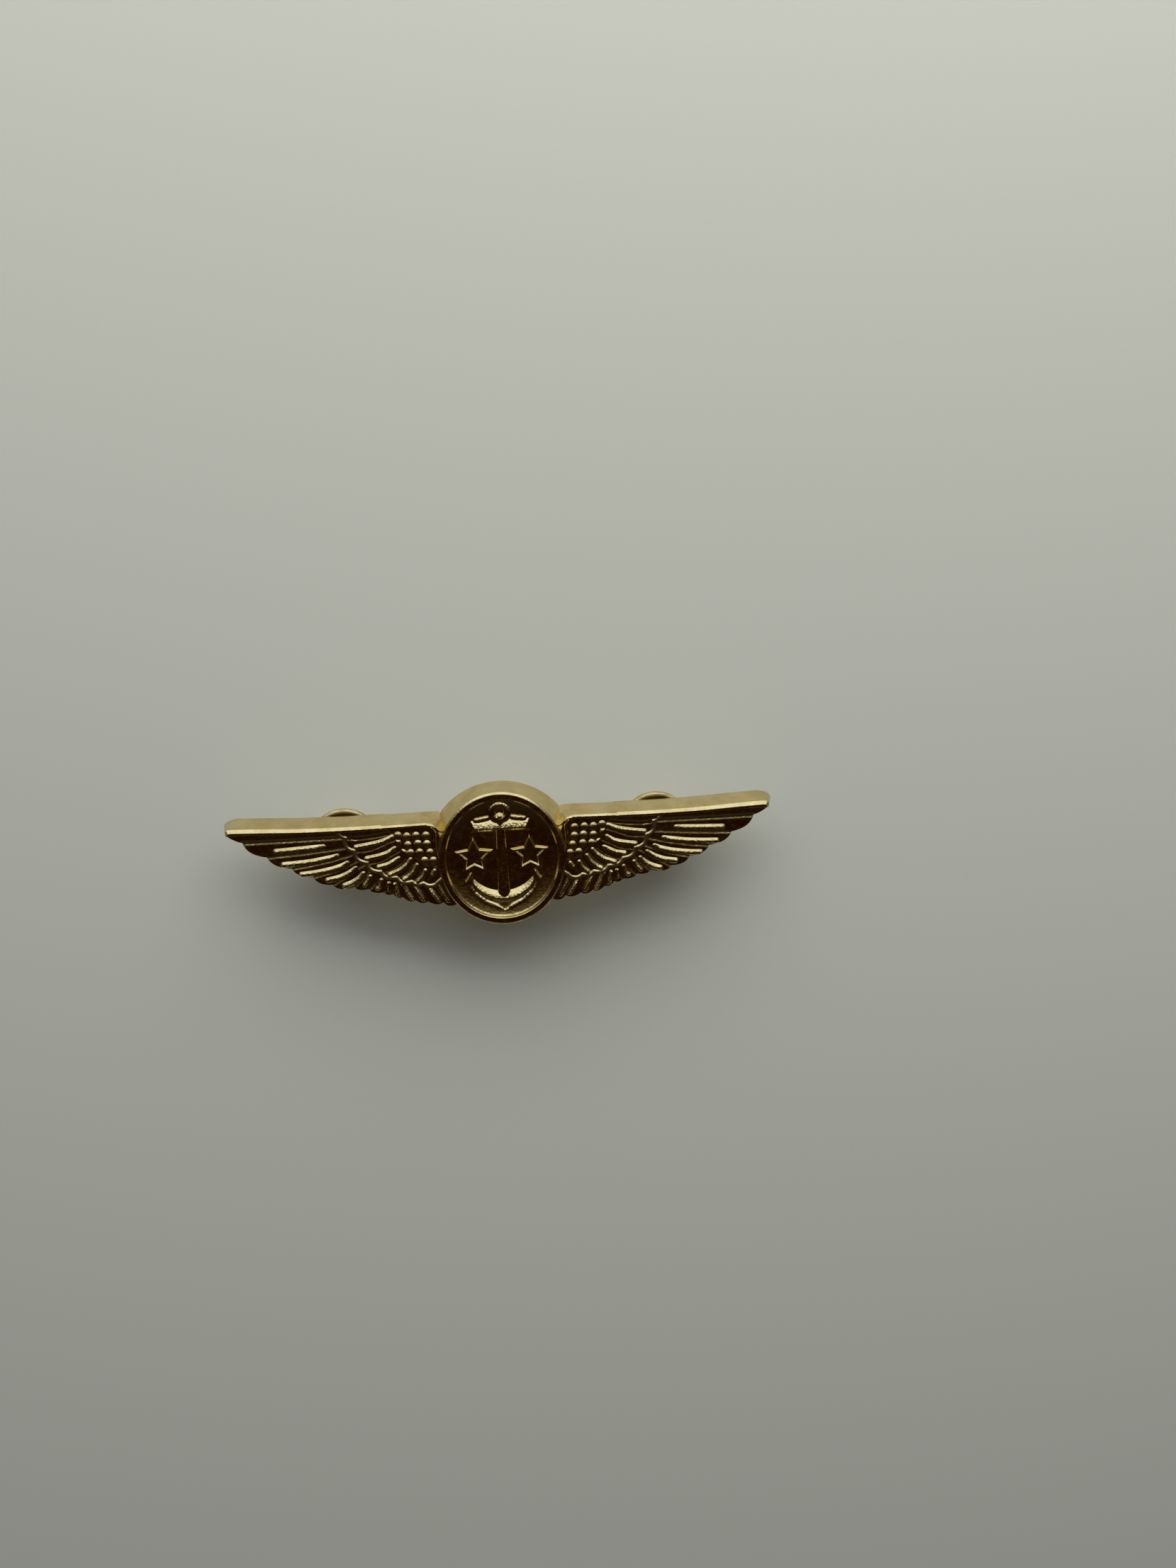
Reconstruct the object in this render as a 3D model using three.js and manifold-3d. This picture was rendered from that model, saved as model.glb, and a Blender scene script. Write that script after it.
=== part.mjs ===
// Pilot wings pin: a struck gold badge that two posts and their butterfly clutches hold to cloth.
// Millimetres. +X runs along the wings, +Y points to their leading edge, +Z out of the badge's face.
// The pin lies face up on the ears of its clutches, whose lowest edges are at z = 0.

import * as THREE from "three";
import { mergeVertices } from "three/addons/utils/BufferGeometryUtils.js";
import Module from "manifold-3d";

const wasm = await Module();
wasm.setup();

// ---------------------------------------------------------------- driving dimensions
const span = 69.85; // wing tip to wing tip, at the back
const badgeThickness = 3.0; // flat back to the wings' front edge
const wingRelief = 0.5; // feathers' field, below the front edge
const medallionWidth = 19.2; // at the back
const medallionHeight = 18.98; // at the back
const faceWidth = 16.08; // medallion's front outline
const faceHeight = 17.65;
const medallionRelief = 0.8; // field inside the rim, below the crest
const crestRise = 0.25; // medallion's crest, above the wings' front edge
const seam = 0.02; // solder seam between struck pieces

const postX = 20.0; // post's distance from the pin's centre
const postY = 2.2;
const postRadius = 0.575;
const postLength = 6.3;
const clutchHeight = 6.2; // clutch's rim to the lowest edge of its ears
const clutchRadius = 4.5;
const clutchGap = 0.4; // badge's back to clutch's rim

const roundSteps = 32; // sides of a turned clutch piece
const medallionSteps = 56;
const wireSides = 6;

// Heights that follow from them.
const backZ = clutchHeight + clutchGap;
const edgeZ = backZ + badgeThickness;
const wingFieldZ = edgeZ - wingRelief;
const crestZ = edgeZ + crestRise;
const medallionFieldZ = crestZ - medallionRelief;

// ---------------------------------------------------------------- wing layout, right wing
// Front edge of the wing from inside the medallion to the tip.
const leadingEdge = [
  [6.2, 5.12], [9.2, 5.24], [14.6, 5.2], [20, 5.25], [25, 5.33], [30, 5.57], [33.4, 5.7],
];
const tipCorner = [34.5, 5.75]; // the tip is rounded towards this corner
const tipEnd = [34.1, 4.85];

// Rounded end of each flight feather, tip to medallion: the corner it is rounded towards, and its cusp.
const featherEnds = [
  [33.4, 4.25, 32.2, 3.8], [31.9, 2.2, 29.4, 1.75], [28.9, 0.35, 26.5, 0.1],
  [26.0, -1.1, 23.95, -1.2], [23.4, -2.4, 21.6, -2.35], [21.0, -3.4, 18.9, -2.8],
  [18.5, -3.5, 17.1, -3.2], [16.8, -3.9, 15.3, -3.8], [14.9, -4.3, 14.1, -4.1],
  [13.5, -4.9, 12.9, -4.6], [12.1, -5.5, 11.3, -5.1], [10.6, -5.8, 9.8, -5.35],
  [8.7, -6.1, 7.8, -5.6], [7.2, -6.5, 6.3, -5.9],
];

// Middle line of each flight feather: root, bend, end.
const flightFeathers = [
  [19.9, 3.0, 26, 2.5, 31.3, 2.85], [19.4, 1.9, 24, 0.95, 28.2, 0.85],
  [18.9, 1.05, 21.5, -0.3, 25.7, -0.55], [18.2, 0.2, 20, -1.15, 22.8, -1.75],
  [17.5, -0.5, 18.6, -1.95, 20.6, -2.55], [16.7, -1.25, 17.2, -2.3, 18.3, -2.9],
  [15.5, -1.7, 15.6, -2.8, 16.3, -3.4], [14.6, -2.4, 14.5, -3.2, 14.7, -3.8],
  [13.9, -2.6, 13.6, -3.6, 13.2, -4.3], [12.8, -2.9, 12.4, -4.0, 11.7, -4.8],
  [11.5, -3.1, 10.9, -4.2, 10.2, -5.1], [9.9, -3.3, 9.1, -4.4, 8.3, -5.4],
];

// Middle line of each covert feather.
const covertFeathers = [
  [13.6, 4.15, 16.5, 4.2, 19.3, 4.05], [13.5, 3.7, 16, 3.25, 18.6, 2.75],
  [13.5, 2.25, 15.2, 1.65, 17.3, 1.05], [12.9, 1.1, 14.4, 0.25, 16.1, -0.25],
  [11.5, 0.6, 12.9, -0.55, 14.6, -1.25], [10.8, -0.1, 11.7, -1.25, 12.8, -2.0],
  [9.75, -0.75, 10.3, -1.7, 11.1, -2.4], [8.7, -1.15, 9.0, -2.0, 9.7, -2.6],
];
const flightWidth = 1.25;
const covertWidth = 1.05;
const ridgeHeight = 0.36;
const ridgeRoot = 0.15; // how far a ridge reaches into the wing
const wingMiddle = [[9, -0.3], [33, 5.15]]; // line that the side walls spread away from

// Rows of small round feathers beside the medallion: first x, y, count.
const beadRows = [[9.35, 3.55, 4], [9.3, 2.4, 4], [9.05, 1.25, 3], [8.7, 0.17, 2], [8.7, -0.75, 1]];
const beadPitch = 1.17;
const beadRadius = 0.48;

// Lower edge of the raised bar along the leading edge, tip to medallion.
const barLowerEdge = [[33.1, 4.5], [31, 4.1], [24, 4.05], [20, 4.4], [14.6, 4.5], [9.2, 4.5]];
const barStart = [8.5, 5.0]; // bar's outer edge beside the medallion
const barTip = [33.8, 5.1];
const barInset = 0.12; // bar's outline inside the front edge
const barBevel = 0.12;

// ---------------------------------------------------------------- medallion layout
const rimWidth = 0.45;
const crestBevel = 0.15;
const rimFoot = 1.35; // crest's outer edge to the start of the field
const ringY = 6.0;
const ringRadius = 1.0;
const ringWire = 0.4;
const stockY = 4.45;
const stockHalfLength = 3.3;
const stockHalfWidth = 0.55;
const shank = [[-0.45, 5.5], [-0.7, -5.8], [0.7, -5.8], [0.45, 5.5]];
const armTip = [4.85, -2.3]; // tip of an arm, its outer bend, and the keel
const armOuterBend = [4.1, -6.0];
const keelY = -7.1;
const armInnerTip = [3.3, -3.4];
const armInnerBend = [2.4, -5.0];
const crownY = -5.2;
const emblemRise = 0.5; // anchor and stars, above the field
const emblemBevel = 0.15;
const starX = 3.55;
const starY = 0.35;
const starRadius = 2.45; // to the points, inside the bevel
const starWaist = 0.48; // inner radius over outer radius

// ---------------------------------------------------------------- clutch layout, below the rim
const rimRoll = 0.4; // radius of the rolled rim
const dishDepth = 0.55; // rim to the floor of the dish
const dishCorner = 0.75; // edge of the dish's flat floor, inside the roll's centre
const rollFoot = 0.15; // start of the roll, inside its round
const underCorner = 0.6; // edge of the underside's flat, inside the roll's centre
const sheet = 0.3; // thickness of the stamped sheet
const holeRadius = 0.75;
const coverRadius = 2.7;
const coverDepth = 1.35;
const coverInnerRound = 0.2;
const springWire = 0.2;
const springHalfLength = 1.55;
const springRise = 0.3; // above the cover's floor
const springPlay = 0.03; // between a leg and the post
const knuckleX = 1.3; // ear's pivot from the post's axis
const knuckleRadius = 0.3;
const knuckleDrop = 2.6;
const earThickness = 0.35;
const earWidth = 3.8;
const earReach = 3.1; // pivot to the ear's tip along X
const earUpperBend = [0.9, -1.7]; // from the pivot
const earLowerBend = [1.4, 0.6]; // reach from the pivot, height above the ear's lowest edge
const earTipRound = 1.6;
const earTipBeyond = 0.1; // full outline of the round tip, below the ear's lowest edge

// ---------------------------------------------------------------- post layout, up from its point
const postPoint = 0.12; // radius at the very end
const postTaper = 0.9;
const postShoulder = 1.05;
const grooveLow = 1.5;
const grooveHigh = 2.0;
const grooveDepth = 0.15;
const grooveSlope = 0.1;
const postHeadRadius = 1.3;
const postHeadHeight = 0.25;
const solderRadius = 1.75;
const solderHeight = 0.2; // beside the post's head
const solderShoulder = 0.15; // both across and down
const solderEdge = 0.045; // height at its outer edge

// ---------------------------------------------------------------- solids and booleans
function closed(geometry) {
  geometry.deleteAttribute("normal");
  geometry.deleteAttribute("uv");
  const merged = mergeVertices(geometry, 1e-4);
  const corners = merged.index.array;
  const kept = [];
  for (let i = 0; i < corners.length; i += 3) {
    const [a, b, c] = [corners[i], corners[i + 1], corners[i + 2]];
    if (a !== b && b !== c && c !== a) kept.push(a, b, c);
  }
  merged.setIndex(kept);
  return merged;
}

function solidOf(geometry) {
  const mesh = closed(geometry);
  const vertProperties = new Float32Array(mesh.attributes.position.array);
  const triVerts = new Uint32Array(mesh.index.array);
  return new wasm.Manifold(new wasm.Mesh({ numProp: 3, vertProperties, triVerts }));
}

function geometryOf(solid) {
  const mesh = solid.getMesh();
  const geometry = new THREE.BufferGeometry();
  geometry.setAttribute("position", new THREE.BufferAttribute(mesh.vertProperties, 3));
  geometry.setIndex(new THREE.BufferAttribute(mesh.triVerts, 1));
  return geometry;
}

function joined(geometries) {
  return geometries.map(solidOf).reduce((whole, piece) => whole.add(piece));
}

function mirrored(geometry) {
  const copy = geometry.clone().scale(-1, 1, 1);
  const corners = copy.index.array;
  for (let i = 0; i < corners.length; i += 3) {
    [corners[i], corners[i + 1]] = [corners[i + 1], corners[i]];
  }
  return copy;
}

// ---------------------------------------------------------------- shapes
function outline(points) {
  return new THREE.Shape(points.map(([x, y]) => new THREE.Vector2(x, y)));
}

function plate(shape, lowZ, highZ, options = {}) {
  const depth = highZ - lowZ;
  const geometry = new THREE.ExtrudeGeometry(shape, { depth, bevelEnabled: false, ...options });
  return geometry.translate(0, 0, lowZ);
}

// A turned piece: the profile holds [radius, height] pairs, and its ends lie on the axis or meet.
function turned(profile, steps = roundSteps) {
  const points = profile.map(([r, z]) => new THREE.Vector2(r, z));
  if (THREE.ShapeUtils.isClockWise(points)) points.reverse();
  return new THREE.LatheGeometry(points, steps).rotateX(Math.PI / 2);
}

// A three-sided ridge along a bent line, from the field up.
function ridge([x0, y0, bendX, bendY, x1, y1], width, baseZ) {
  const z = new THREE.Vector3(0, 0, baseZ);
  const path = new THREE.QuadraticBezierCurve3(
    new THREE.Vector3(x0, y0, 0).add(z),
    new THREE.Vector3(2 * bendX - (x0 + x1) / 2, 2 * bendY - (y0 + y1) / 2, 0).add(z),
    new THREE.Vector3(x1, y1, 0).add(z),
  );
  const section = outline([[ridgeRoot, -width / 2], [ridgeRoot, width / 2], [-ridgeHeight, 0]]);
  return new THREE.ExtrudeGeometry(section, { steps: 4, extrudePath: path });
}

// ---------------------------------------------------------------- wings
function wingOutline() {
  const shape = new THREE.Shape();
  shape.moveTo(...leadingEdge[0]);
  leadingEdge.slice(1).forEach(([x, y]) => shape.lineTo(x, y));
  shape.quadraticCurveTo(...tipCorner, ...tipEnd);
  featherEnds.forEach(([cornerX, cornerY, x, y]) => shape.quadraticCurveTo(cornerX, cornerY, x, y));
  return shape;
}

// Spreads the back of an extruded wing away from its middle line, until the tip is at half the span.
function drafted(geometry) {
  const [start, end] = wingMiddle.map(([x, y]) => new THREE.Vector3(x, y, 0));
  const middle = new THREE.Line3(start, end);
  const position = geometry.attributes.position;
  const flat = (i) => new THREE.Vector3(position.getX(i), position.getY(i), 0);
  const away = (i) => {
    const nearest = middle.closestPointToPoint(flat(i), true, new THREE.Vector3());
    return flat(i).sub(nearest).normalize();
  };
  let tip = 0;
  for (let i = 1; i < position.count; i += 1) {
    if (position.getX(i) > position.getX(tip)) tip = i;
  }
  const spread = (span / 2 - position.getX(tip)) / away(tip).x;
  for (let i = 0; i < position.count; i += 1) {
    if (position.getZ(i) < backZ + 0.5 * badgeThickness) {
      const moved = flat(i).addScaledVector(away(i), spread);
      position.setXY(i, moved.x, moved.y);
    }
  }
  return geometry;
}

function leadingBar() {
  const upper = [barStart, ...leadingEdge.slice(1)].map(([x, y]) => [x, y - barInset - barBevel]);
  const bar = outline([...upper, barTip, ...barLowerEdge]);
  const bevel = { bevelEnabled: true, bevelSize: barBevel, bevelThickness: barBevel, bevelSegments: 1 };
  return plate(bar, wingFieldZ - barBevel, edgeZ - barBevel, bevel);
}

function beads() {
  const domes = [];
  beadRows.forEach(([firstX, y, count]) => {
    for (let i = 0; i < count; i += 1) {
      const dome = new THREE.SphereGeometry(beadRadius, 8, 6).rotateX(Math.PI / 2);
      domes.push(dome.translate(firstX + i * beadPitch, y, wingFieldZ));
    }
  });
  return domes;
}

function rightWing() {
  const blank = drafted(plate(wingOutline(), backZ, wingFieldZ, { curveSegments: 4 }));
  const flights = flightFeathers.map((line) => ridge(line, flightWidth, wingFieldZ));
  const coverts = covertFeathers.map((line) => ridge(line, covertWidth, wingFieldZ));
  const struck = joined([blank, leadingBar(), ...flights, ...coverts, ...beads()]);
  return geometryOf(struck.subtract(solidOf(medallionRoom())));
}

// ---------------------------------------------------------------- medallion and its emblem
const faceRadius = faceWidth / 2;
const wallTop = crestZ - crestBevel;

// A turned oval: its outline passes from the face's at the top of the wall to the wider one at the back.
function oval(profile) {
  const geometry = turned(profile, medallionSteps);
  const position = geometry.attributes.position;
  for (let i = 0; i < position.count; i += 1) {
    const down = (wallTop - position.getZ(i)) / (wallTop - backZ);
    const width = THREE.MathUtils.lerp(faceWidth, medallionWidth, down);
    const height = THREE.MathUtils.lerp(faceHeight, medallionHeight, down);
    position.setX(i, (position.getX(i) * width) / faceWidth);
    position.setY(i, (position.getY(i) * height) / faceWidth);
  }
  return geometry;
}

function medallion() {
  const crestRadius = faceRadius - crestBevel;
  return oval([
    [0, backZ], [faceRadius, backZ], [faceRadius, wallTop], [crestRadius, crestZ],
    [crestRadius - rimWidth, crestZ], [faceRadius - rimFoot, medallionFieldZ], [0, medallionFieldZ],
  ]);
}

// The room that the medallion takes between the wings: its walls with a seam around them, and no recess.
function medallionRoom() {
  const [low, high] = [backZ - 1, crestZ + 1];
  const radius = faceRadius + seam;
  return oval([[0, low], [radius, low], [radius, high], [0, high]]);
}

// A bevelled plate that stands on the field.
function emblemPlate(shape) {
  const bevel = { bevelEnabled: true, bevelSize: emblemBevel, bevelThickness: emblemBevel, bevelSegments: 1 };
  const low = medallionFieldZ - emblemBevel;
  return plate(shape, low, medallionFieldZ + emblemRise - emblemBevel, { ...bevel, curveSegments: 6 });
}

// Joins emblem pieces and cuts them off just above the field.
function emblem(geometries) {
  const wide = 2 * medallionWidth;
  const deep = 2 * emblemRise;
  const below = new THREE.BoxGeometry(wide, wide, deep).translate(0, 0, medallionFieldZ + seam - deep / 2);
  return geometryOf(joined(geometries).subtract(solidOf(below)));
}

function anchorArms() {
  const arms = new THREE.Shape();
  const [tipX, tipY] = armTip;
  const [outerX, outerY] = armOuterBend;
  const [innerX, innerY] = armInnerBend;
  arms.moveTo(-tipX, tipY);
  arms.quadraticCurveTo(-outerX, outerY, 0, keelY);
  arms.quadraticCurveTo(outerX, outerY, tipX, tipY);
  arms.lineTo(...armInnerTip);
  arms.quadraticCurveTo(innerX, innerY, 0, crownY);
  arms.quadraticCurveTo(-innerX, innerY, -armInnerTip[0], armInnerTip[1]);
  return emblemPlate(arms);
}

function anchorStock() {
  const bar = new THREE.Shape();
  bar.absarc(-stockHalfLength, stockY, stockHalfWidth, Math.PI / 2, 1.5 * Math.PI);
  bar.absarc(stockHalfLength, stockY, stockHalfWidth, -Math.PI / 2, Math.PI / 2);
  return emblemPlate(bar);
}

function anchor() {
  const ring = new THREE.TorusGeometry(ringRadius, ringWire, 8, 20).translate(0, ringY, medallionFieldZ);
  return emblem([anchorArms(), emblemPlate(outline(shank)), anchorStock(), ring]);
}

// Plain five-pointed star.
function star(sign) {
  const corners = Array.from({ length: 10 }, (_, i) => {
    const radius = i % 2 === 0 ? starRadius : starWaist * starRadius;
    const angle = Math.PI / 2 + (i * Math.PI) / 5;
    return [sign * starX + radius * Math.cos(angle), starY + radius * Math.sin(angle)];
  });
  return emblem([emblemPlate(outline(corners))]);
}

// ---------------------------------------------------------------- post, with z = 0 at the badge's back
function post() {
  const neck = postRadius - grooveDepth;
  return turned([
    [0, -postLength], [postPoint, -postLength], [neck, postTaper - postLength],
    [postRadius, postShoulder - postLength], [postRadius, grooveLow - postLength],
    [neck, grooveLow + grooveSlope - postLength], [neck, grooveHigh - grooveSlope - postLength],
    [postRadius, grooveHigh - postLength], [postRadius, -postHeadHeight],
    [postHeadRadius, -postHeadHeight], [postHeadRadius, -seam], [0, -seam],
  ]);
}

// Fillet of solder around the post's head.
function solder() {
  const inner = postHeadRadius + seam;
  return turned([
    [inner, -seam], [inner, -solderHeight], [inner + solderShoulder, -solderShoulder],
    [solderRadius, -solderEdge], [solderRadius, -seam], [inner, -seam],
  ]);
}

// ---------------------------------------------------------------- clutch, with z = 0 at its rim's top
function clutchBase() {
  const roll = clutchRadius - rimRoll;
  const half = rimRoll / Math.SQRT2;
  const floorZ = -dishDepth;
  const underZ = -dishDepth - sheet;
  return turned([
    [holeRadius, floorZ], [roll - dishCorner, floorZ], [roll - rollFoot - half, half - rimRoll],
    [roll, 0], [roll + half, half - rimRoll], [clutchRadius, -rimRoll],
    [roll + half, -rimRoll - half], [roll, -2 * rimRoll],
    [roll - underCorner, underZ], [holeRadius, underZ], [holeRadius, floorZ],
  ]);
}

const coverTop = -dishDepth - sheet - seam;
const coverFloor = coverTop - coverDepth;

function clutchCover() {
  const inner = coverRadius - sheet;
  const floorZ = coverFloor + sheet;
  return turned([
    [holeRadius, floorZ], [inner - coverInnerRound, floorZ], [inner, floorZ + coverInnerRound],
    [inner, coverTop], [coverRadius, coverTop], [coverRadius, floorZ],
    [coverRadius - sheet, coverFloor], [holeRadius, coverFloor], [holeRadius, floorZ],
  ]);
}

// Hairpin of spring wire whose two legs pass either side of the post.
function gripSpring() {
  const legY = postRadius + springWire + springPlay;
  const z = coverFloor + sheet + springWire + springRise;
  const path = new THREE.CurvePath();
  const bendX = -springHalfLength + legY;
  const bend = new THREE.CatmullRomCurve3(
    [90, 135, 180, 225, 270].map((degrees) => {
      const angle = THREE.MathUtils.degToRad(degrees);
      return new THREE.Vector3(bendX + legY * Math.cos(angle), legY * Math.sin(angle), z);
    }),
  );
  path.add(new THREE.LineCurve3(new THREE.Vector3(springHalfLength, legY, z), bend.points[0]));
  path.add(bend);
  path.add(new THREE.LineCurve3(bend.points[4], new THREE.Vector3(springHalfLength, -legY, z)));
  const section = new THREE.Shape().absarc(0, 0, springWire, 0, 2 * Math.PI);
  const shape = outline(section.getPoints(wireSides).slice(0, -1).map((p) => [p.x, p.y]));
  return new THREE.ExtrudeGeometry(shape, { steps: 20, extrudePath: path });
}

// Stamped ear on the +X side of the post: a curved sheet with a rounded end, and a knuckle.
function earSheet() {
  const [upperX, upperZ] = earUpperBend;
  const [lowerX, lowerZ] = earLowerBend;
  const curve = new THREE.CubicBezierCurve(
    new THREE.Vector2(knuckleX, -knuckleDrop),
    new THREE.Vector2(knuckleX + upperX, -knuckleDrop + upperZ),
    new THREE.Vector2(knuckleX + lowerX, -clutchHeight + lowerZ),
    new THREE.Vector2(knuckleX + earReach, -clutchHeight + earThickness / 2),
  );
  const steps = 8;
  const face = (sign) => Array.from({ length: steps + 1 }, (_, i) => {
    const point = curve.getPoint(i / steps);
    const along = curve.getTangent(i / steps);
    const half = (sign * earThickness) / 2;
    return [point.x - along.y * half, point.y + along.x * half];
  });
  const section = outline([...face(1), ...face(-1).reverse()]);
  return plate(section, -earWidth / 2, earWidth / 2).rotateX(Math.PI / 2);
}

function earOutline() {
  const tongue = new THREE.Shape();
  const half = earWidth / 2;
  const tipZ = -clutchHeight - earTipBeyond;
  tongue.moveTo(-half, 0);
  tongue.lineTo(-half, tipZ + earTipRound);
  tongue.quadraticCurveTo(-half, tipZ, earTipRound - half, tipZ);
  tongue.lineTo(half - earTipRound, tipZ);
  tongue.quadraticCurveTo(half, tipZ, half, tipZ + earTipRound);
  tongue.lineTo(half, 0);
  const reach = 2 * (knuckleX + earReach);
  return plate(tongue, 0, reach, { curveSegments: 5 }).rotateX(Math.PI / 2).rotateZ(Math.PI / 2);
}

function ear() {
  const knuckle = new THREE.CylinderGeometry(knuckleRadius, knuckleRadius, earWidth, 12);
  const rounded = solidOf(earSheet()).intersect(solidOf(earOutline()));
  return geometryOf(rounded.add(solidOf(knuckle.translate(knuckleX, 0, -knuckleDrop))));
}

// ---------------------------------------------------------------- the pin
const polishedGold = { color: 0xb8923f, roughness: 0.15, metalness: 1 };
const clutchGold = { color: 0xc9a352, roughness: 0.3, metalness: 1 };
const springSteel = { color: 0x9a9a98, roughness: 0.35, metalness: 1 };
const solderGrey = { color: 0xa9a69c, roughness: 0.5, metalness: 1 };

const group = new THREE.Group();

function named(name, geometry, look) {
  const mesh = new THREE.Mesh(geometry, new THREE.MeshStandardMaterial(look));
  mesh.name = name;
  return mesh;
}

const wing = rightWing();
group.add(named("right_wing", wing, polishedGold));
group.add(named("left_wing", mirrored(wing), polishedGold));
group.add(named("medallion", closed(medallion()), polishedGold));
group.add(named("anchor", anchor(), polishedGold));

for (const [side, sign] of [["left", -1], ["right", 1]]) {
  group.add(named(`${side}_star`, star(sign), polishedGold));

  const fixing = new THREE.Group();
  fixing.position.set(sign * postX, postY, backZ);
  fixing.add(named(`${side}_post`, closed(post()), clutchGold));
  fixing.add(named(`${side}_post_solder`, closed(solder()), solderGrey));
  group.add(fixing);

  const clutch = new THREE.Group();
  clutch.position.set(sign * postX, postY, backZ - clutchGap);
  clutch.add(named(`${side}_clutch_base`, closed(clutchBase()), clutchGold));
  clutch.add(named(`${side}_clutch_cover`, closed(clutchCover()), clutchGold));
  clutch.add(named(`${side}_grip_spring`, closed(gripSpring()), springSteel));
  for (const [place, turn] of [["outer", sign > 0 ? 0 : Math.PI], ["inner", sign > 0 ? Math.PI : 0]]) {
    const clutchEar = named(`${side}_${place}_ear`, ear(), clutchGold);
    clutchEar.rotation.z = turn;
    clutch.add(clutchEar);
  }
  group.add(clutch);
}

export default group;
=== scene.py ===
# Gold pilot wings pin, lying face up on its butterfly clutches.
# Lengths are in millimetres until a mesh is made, except the stage's and the lights', which are in metres.
# +X runs along the wings, +Y points to their leading edge and +Z out of the badge's face.
import math

import bpy
import numpy as np
from mathutils import Matrix, Vector


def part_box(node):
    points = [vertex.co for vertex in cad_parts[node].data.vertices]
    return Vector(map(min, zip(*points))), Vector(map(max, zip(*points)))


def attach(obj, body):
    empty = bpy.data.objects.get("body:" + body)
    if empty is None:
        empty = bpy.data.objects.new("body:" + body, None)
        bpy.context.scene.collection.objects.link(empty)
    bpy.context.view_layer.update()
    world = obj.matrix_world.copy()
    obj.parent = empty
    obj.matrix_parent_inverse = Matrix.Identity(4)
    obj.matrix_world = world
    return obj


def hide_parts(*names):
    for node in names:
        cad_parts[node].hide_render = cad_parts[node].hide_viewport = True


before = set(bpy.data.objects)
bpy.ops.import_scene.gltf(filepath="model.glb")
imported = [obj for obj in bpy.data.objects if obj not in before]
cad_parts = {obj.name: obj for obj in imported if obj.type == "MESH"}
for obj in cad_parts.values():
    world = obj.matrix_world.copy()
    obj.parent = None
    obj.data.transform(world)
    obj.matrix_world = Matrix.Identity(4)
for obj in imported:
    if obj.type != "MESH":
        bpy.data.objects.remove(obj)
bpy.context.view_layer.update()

MM = 0.001
FINE = 1.0  # share of the full mesh density
SIDES = (("left", -1), ("right", 1))


def box_mm(node):
    low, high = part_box(node)
    return np.array(low) / MM, np.array(high) / MM


# -------------------- places and sizes from the frame
wing_low, wing_high = box_mm("right_wing")
_, boss_high = box_mm("medallion")
post_low, post_high = box_mm("right_post")
base_low, base_high = box_mm("right_clutch_base")
cover_low, cover_high = box_mm("right_clutch_cover")
ear_low, ear_high = box_mm("right_outer_ear")
spring_low, spring_high = box_mm("right_grip_spring")
solder_low, solder_high = box_mm("right_post_solder")

BACK_Z = wing_low[2]
EDGE_Z = wing_high[2]  # wings' front edge
CREST_Z = boss_high[2]
TIP_X = wing_high[0]
BOSS_X = boss_high[0]  # medallion's half width at the back
BOSS_Y = boss_high[1]
POST_X = (post_low[0] + post_high[0]) / 2
POST_Y = (post_low[1] + post_high[1]) / 2
POST_LOW = post_low[2]
POST_TOP = post_high[2]
HEAD_RADIUS = (post_high[0] - post_low[0]) / 2
SOLDER_LOW = solder_low[2]
SOLDER_TOP = solder_high[2]
SOLDER_RADIUS = (solder_high[0] - solder_low[0]) / 2
CLUTCH_RADIUS = (base_high[0] - base_low[0]) / 2
CLUTCH_TOP = base_high[2]
BASE_LOW = base_low[2]
COVER_RADIUS = (cover_high[0] - cover_low[0]) / 2
COVER_TOP = cover_high[2]
COVER_LOW = cover_low[2]
WIRE = (spring_high[2] - spring_low[2]) / 2  # spring wire's radius
SPRING_Z = (spring_high[2] + spring_low[2]) / 2
EAR_LOW = ear_low[2]
EAR_WIDTH = ear_high[1] - ear_low[1]

# -------------------- driving dimensions
FACE_X = 8.04  # medallion's half width and height at the front
FACE_Y = 8.82
FIELD_DEPTH = 0.80  # medallion's field, below its crest
FIELD_Z = CREST_Z - FIELD_DEPTH
BEVEL_SLOPE = math.tan(math.radians(38))  # along the wings' leading edge
POST_RADIUS = 0.575
HEAD_THICKNESS = 0.23
SHEET = 0.3  # thickness of the clutch's stamped sheet
HOLE_RADIUS = 0.75
RIM_ROLL = 0.4  # radius of the clutch's rolled rim
EAR_SHEET = 0.35
KNUCKLE = 0.3  # radius of the ear's rolled end
KNUCKLE_X = 1.3  # its distance from the post's axis
KNUCKLE_Z = ear_high[2] - KNUCKLE
EAR_REACH = ear_high[0] - POST_X - KNUCKLE_X - 0.04

# Fineness of the meshes.
WING_COLUMNS = int(620 * FINE)
WING_ROWS = int(180 * FINE)
MEDALLION_SIDES = int(720 * FINE)
RIM_ROWS = int(120 * FINE)
FIELD_ROWS = int(60 * FINE)
ANCHOR_STEP = 0.055 / FINE
STAR_STEP = 0.05 / FINE

# Relief of the wings, measured from the front edge.
FLIGHT_FLOOR = -0.46
COVERT_FLOOR = -0.30
BEAD_FLOOR = -0.27
VANE_RISE = 0.075
FIRST_VANE_RISE = 0.165  # the vane beside the leading edge
QUILL_RISE = 0.25
QUILL_NEAR = 0.42  # half width on the side that faces the leading edge
QUILL_FAR = 0.36
SLIM_QUILL = 0.8  # share of the width that a quill near the medallion has
SLIM_BEFORE_X = 17.2
QUILL_WINDOW = 9  # no quill reaches further than this from its middle
BEAD_RADIUS = 0.5
BEAD_RISE = 0.23
BEAD_BLEND = 0.3  # width over which the beads' field gives way to the coverts
BORDER_RISE = 0.16  # welt round the beads' inner corner
BORDER_HALF = 0.17
WELT_RISE = 0.13  # welt between the coverts and the flight feathers
WELT_WIDTH = 0.2
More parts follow.
